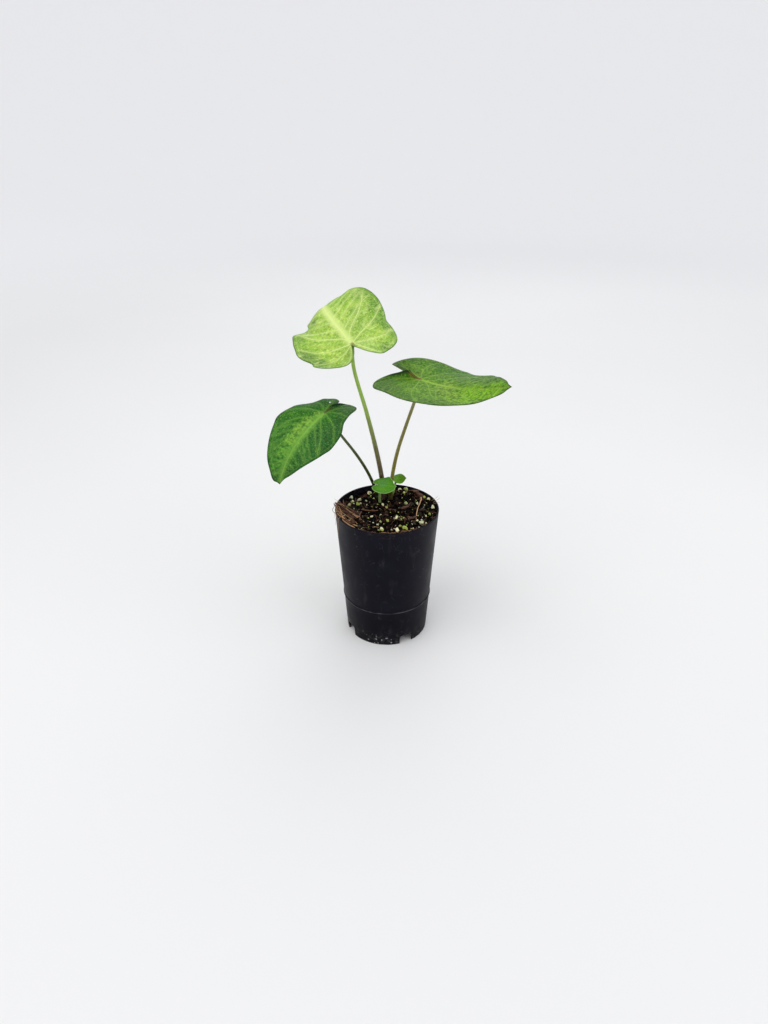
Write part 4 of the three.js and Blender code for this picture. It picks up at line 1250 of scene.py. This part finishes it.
def pot_plastic():
    """Thin black plastic, a little scuffed and dusty, with a painted highlight along the bead and dried
    splashes low on the front.
    """
    g = Graph("pot_plastic_skin", specular=0.09)
    place = g.place()
    x, y, z = g.parts(place)
    broad = g.noise(place, 22, 4)
    grain = g.noise(place, 0.8, 3)
    flow = g.noise(g.scaled(place, (1, 1, 0.25)), 6, 5)
    g.colour = g.mix(g.step(broad, 0.35, 0.7), (5, 5, 17), (13, 12, 25))
    scratch_place = g.add("TexNoise", output=1, inputs={"Vector": place, "Scale": 0.09, "Detail": 2.0})
    scratch_place = g.vector("ADD", place, g.scaled(scratch_place, (26, 26, 26)))
    scratches = g.step(g.cells(scratch_place, 9), 0.004, 0.018, 1, 0)
    scratches = g.times(scratches, g.step(g.noise(place, 7, 2), 0.52, 0.66))
    scuffs = g.times(g.step(flow, 0.56, 0.74), g.step(grain, 0.4, 0.7, 0.3, 1))
    g.paint(g.step(z, BEAD_HEIGHT - 10, BEAD_HEIGHT + 14, 0.5, 0), (2, 2, 6))
    g.paint(g.times(scratches, 0.16), (120, 120, 128))
    g.paint(g.times(scuffs, 0.16), (96, 94, 96))
    # Painted highlight: a thin light line along the bead's ridge, stronger where the flow noise is high.
    painted_bead_highlight = g.step(g.apart(z, BEAD_HEIGHT), 0.1, 0.6, 1, 0)
    painted_bead_highlight = g.times(painted_bead_highlight, g.step(flow, 0.4, 0.6, 0.2, 1))
    g.paint(g.times(painted_bead_highlight, 0.3), (128, 126, 132))
    low = g.step(z, 1, 15, 1, 0)
    dust = g.times(low, g.step(g.noise(place, 3, 5), 0.5, 0.7))
    g.paint(g.times(dust, 0.3), (104, 98, 92))
    front = g.times(g.step(g.times(y, -1), 30, 38), g.step(z, 3, 11, 1, 0))
    centre = g.step(g.apart(x, -1), 6, 15, 1, 0)
    drops = g.step(g.cells(place, 2.6, "F1"), 0.16, 0.3, 1, 0)
    splash = g.times(g.times(front, centre), drops)
    g.paint(g.times(splash, 0.8), (176, 178, 182))
    soiled = g.times(g.step(z, POT_HEIGHT - 7, POT_HEIGHT), g.step(g.noise(place, 2.2, 4), 0.54, 0.7))
    g.paint(g.times(soiled, 0.5), (74, 56, 42))
    rough = g.plus(g.step(broad, 0.3, 0.7, 0.36, 0.5), g.times(scuffs, 0.12))
    height = g.plus(g.times(grain, 0.25), g.times(splash, 0.8))
    height = g.plus(height, g.times(dust, 0.4))
    return g.finish(Roughness=rough, Normal=g.bump(height, 0.12))


def peat():
    """Damp dark peat, with painted shade that makes it nearly black in the hollows of its bump, and rusty and
    grey crumbs.
    """
    g = Graph("peat_skin", specular=0.04)
    place = g.place()
    tint, tone, _ = g.parts(g.field("tint"))
    lumps = g.noise(place, 1.6, 5)
    fine = g.noise(place, 0.35, 3)
    # Painted shade: where the lumps noise is low, in the hollows of the bump, the peat is nearly black.
    g.colour = g.mix(g.step(lumps, 0.35, 0.66), (2, 2, 2), (14, 10, 8))
    g.paint(g.step(tint, 0.72, 1.0, 0, 0.6), (58, 36, 24))
    g.paint(g.step(tone, 0.88, 1.0, 0, 0.6), (80, 72, 60))
    g.paint(g.step(fine, 0.64, 0.76, 0, 0.5), (92, 70, 48))
    height = g.plus(lumps, g.times(fine, 0.5))
    return g.finish(Roughness=g.step(lumps, 0.3, 0.7, 0.7, 0.95), Normal=g.bump(height, 0.7))


def perlite_skin():
    """Chalky grains, some white and some green with algae."""
    g = Graph("perlite_skin", specular=0.3)
    place = g.place()
    tint, tone, _ = g.parts(g.field("tint"))
    pores = g.noise(place, 0.4, 4)
    patch = g.noise(place, 1.5, 3)
    g.colour = g.mix(g.step(tone, 0.1, 0.9), (248, 244, 196), (214, 216, 190))
    green = g.step(g.plus(tint, g.step(patch, 0.3, 0.7, -0.3, 0.3)), 0.3, 0.62, 0, 0.9)
    g.paint(green, (160, 176, 52))
    g.paint(g.step(pores, 0.5, 0.72, 0, 0.55), (112, 104, 78))
    return g.finish(Roughness=g.step(pores, 0.3, 0.7, 0.65, 0.9), Normal=g.bump(pores, 0.5))


def bark_skin():
    g = Graph("bark_skin", specular=0.3)
    place = g.place()
    tint, tone, _ = g.parts(g.field("tint"))
    grain = g.noise(g.scaled(place, (0.6, 1, 1.4)), 0.6, 5, warp=0.6)
    g.colour = g.mix(g.step(grain, 0.3, 0.7), (44, 28, 22), (112, 74, 56))
    g.paint(g.step(tint, 0.5, 1, 0, 0.6), (134, 92, 66))
    g.paint(g.step(tone, 0.7, 1, 0, 0.6), (62, 46, 44))
    return g.finish(Roughness=g.step(grain, 0.3, 0.7, 0.6, 0.85), Normal=g.bump(grain, 0.5))


def root_skin():
    g = Graph("root_skin", specular=0.35)
    place = g.place()
    tint, _, _ = g.parts(g.field("tint"))
    grain = g.noise(place, 0.7, 4)
    g.colour = g.mix(g.step(tint, 0, 0.5), (40, 20, 14), (112, 70, 46))
    g.paint(g.step(tint, 0.5, 0.9), (206, 164, 118))
    g.paint(g.step(grain, 0.45, 0.7, 0, 0.6), (58, 40, 30))
    return g.finish(Roughness=g.step(grain, 0.3, 0.7, 0.5, 0.75), Normal=g.bump(grain, 0.2))


def tuber_skin():
    g = Graph("tuber_skin_look", specular=0.3)
    place = g.place()
    rings = g.noise(g.scaled(place, (0.3, 0.3, 1.6)), 1.6, 4)
    spots = g.noise(place, 0.7, 4)
    g.colour = g.mix(g.step(rings, 0.35, 0.65), (96, 68, 46), (148, 112, 78))
    g.paint(g.step(spots, 0.52, 0.7, 0, 0.7), (66, 46, 34))
    return g.finish(Roughness=g.step(spots, 0.3, 0.7, 0.6, 0.85), Normal=g.bump(rings, 0.4))


def water():
    g = Graph("water", roughness=0.03, specular=0.5)
    g.set({"IOR": 1.33, "Transmission Weight": 1.0, "Base Color": (0.9, 0.97, 0.9, 1)})
    return g.material


def backdrop_paint():
    g = Graph("backdrop_paint", roughness=0.8, specular=0.1)
    place = g.place()
    haze = g.noise(place, 900, 2)
    g.colour = g.mix(g.step(haze, 0.3, 0.7), (230, 230, 230), (226, 226, 227))
    away = g.vector("LENGTH", g.scaled(place, (1, 1, 0)), output=1)
    g.paint(g.step(away, 700, 2100), (254, 254, 255))
    return g.finish()


# The plant


def grow_leaf(leaf):
    name = leaf["name"]
    blade, stalk = blade_shape(leaf), stalk_shape(leaf)
    replaced = (name + "_blade",)
    make_piece(name + "_blade_form", blade, blade_skin(leaf), replaced, sharp=60)
    replaced = (name + "_petiole",)
    make_piece(name + "_stalk_form", stalk, stalk_skin(leaf), replaced, sharp=60)


for each_leaf in LEAVES:
    grow_leaf(each_leaf)
left_leaf = next(leaf for leaf in LEAVES if leaf["name"] == "leaf_left")
make_piece("water_drops", drop_shape(left_leaf), water())

pot = make_piece("pot_form", pot_shape(), pot_plastic(), ("pot",))
cut_away(pot, [notch_shape(bearing) for bearing in NOTCH_BEARINGS])

peat_look, root_look = peat(), root_skin()
make_piece("soil_form", soil_shape(), peat_look, ("soil",))
make_piece("soil_crumbs", crumb_shape(), peat_look)
make_piece("perlite_grains", perlite_shape(), perlite_skin())
make_piece("bark_chips", bark_shape(), bark_skin())
make_piece("root_bundle", root_shape(), root_look)
make_piece("peat_fibres", fibre_shape(), root_look)
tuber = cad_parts["tuber"]
for holder in tuber.material_slots:
    holder.material = tuber_skin()


# Studio


def backdrop():
    """A round bowl with a flat middle, so that the floor runs into the background without an edge."""
    flat, bend, height, sides = 1800, 1200, 1500, 96
    turn = np.radians(np.linspace(0, 90, 13))
    radii = np.concatenate([[300], flat + bend * np.sin(turn), [flat + bend]])
    heights = np.concatenate([[0], bend * (1 - np.cos(turn)), [height]])
    angle = ring_angles(sides)
    rings = [np.c_[r * np.cos(angle), r * np.sin(angle), np.full(sides, z)] for r, z in zip(radii, heights)]
    points = np.vstack([*rings, [[0, 0, 0]]])
    faces = grid_faces(len(rings), sides, flip=True) + fan(len(points) - 1, 0, sides, flip=True)
    mesh = make_mesh("backdrop", points, faces)
    mesh.materials.append(backdrop_paint())
    stage = put_in_scene("backdrop", mesh)


def softbox(name, place, size, power, whiteness):
    """A square light that faces the plant."""
    data = bpy.data.lights.new(name, "AREA")
    data.size, data.energy = size, power
    data.color = (1, 0.5 + 0.5 * whiteness, 2 * whiteness - 1)
    light = put_in_scene(name, data)
    light.location = Vector((np.array(place, float) + AXIS) * MM)
    toward = Vector((np.array(PLANT_MIDDLE, float) + AXIS) * MM) - light.location
    light.rotation_euler = toward.to_track_quat("-Z", "Y").to_euler()


backdrop()
for each_light in LIGHTS:
    softbox(*each_light)

scene = bpy.context.scene
world = bpy.data.worlds.new("studio")
world.use_nodes = True
sky = world.node_tree.nodes["Background"]
sky.inputs["Color"].default_value = SKY
sky.inputs["Strength"].default_value = SKY_STRENGTH
scene.world = world
scene.view_settings.view_transform = "Standard"

camera_data = bpy.data.cameras.new("camera")
camera = put_in_scene("camera", camera_data)
camera.location = Vector((np.array(CAMERA_PLACE) + AXIS) * MM)
camera.rotation_euler = (math.radians(90 - CAMERA_PITCH), 0, 0)
camera_data.sensor_fit = "VERTICAL"
camera_data.sensor_height = SENSOR
camera_data.lens = FOCAL_PIXELS / PICTURE_HEIGHT * SENSOR
camera_data.clip_end = 50
scene.camera = camera
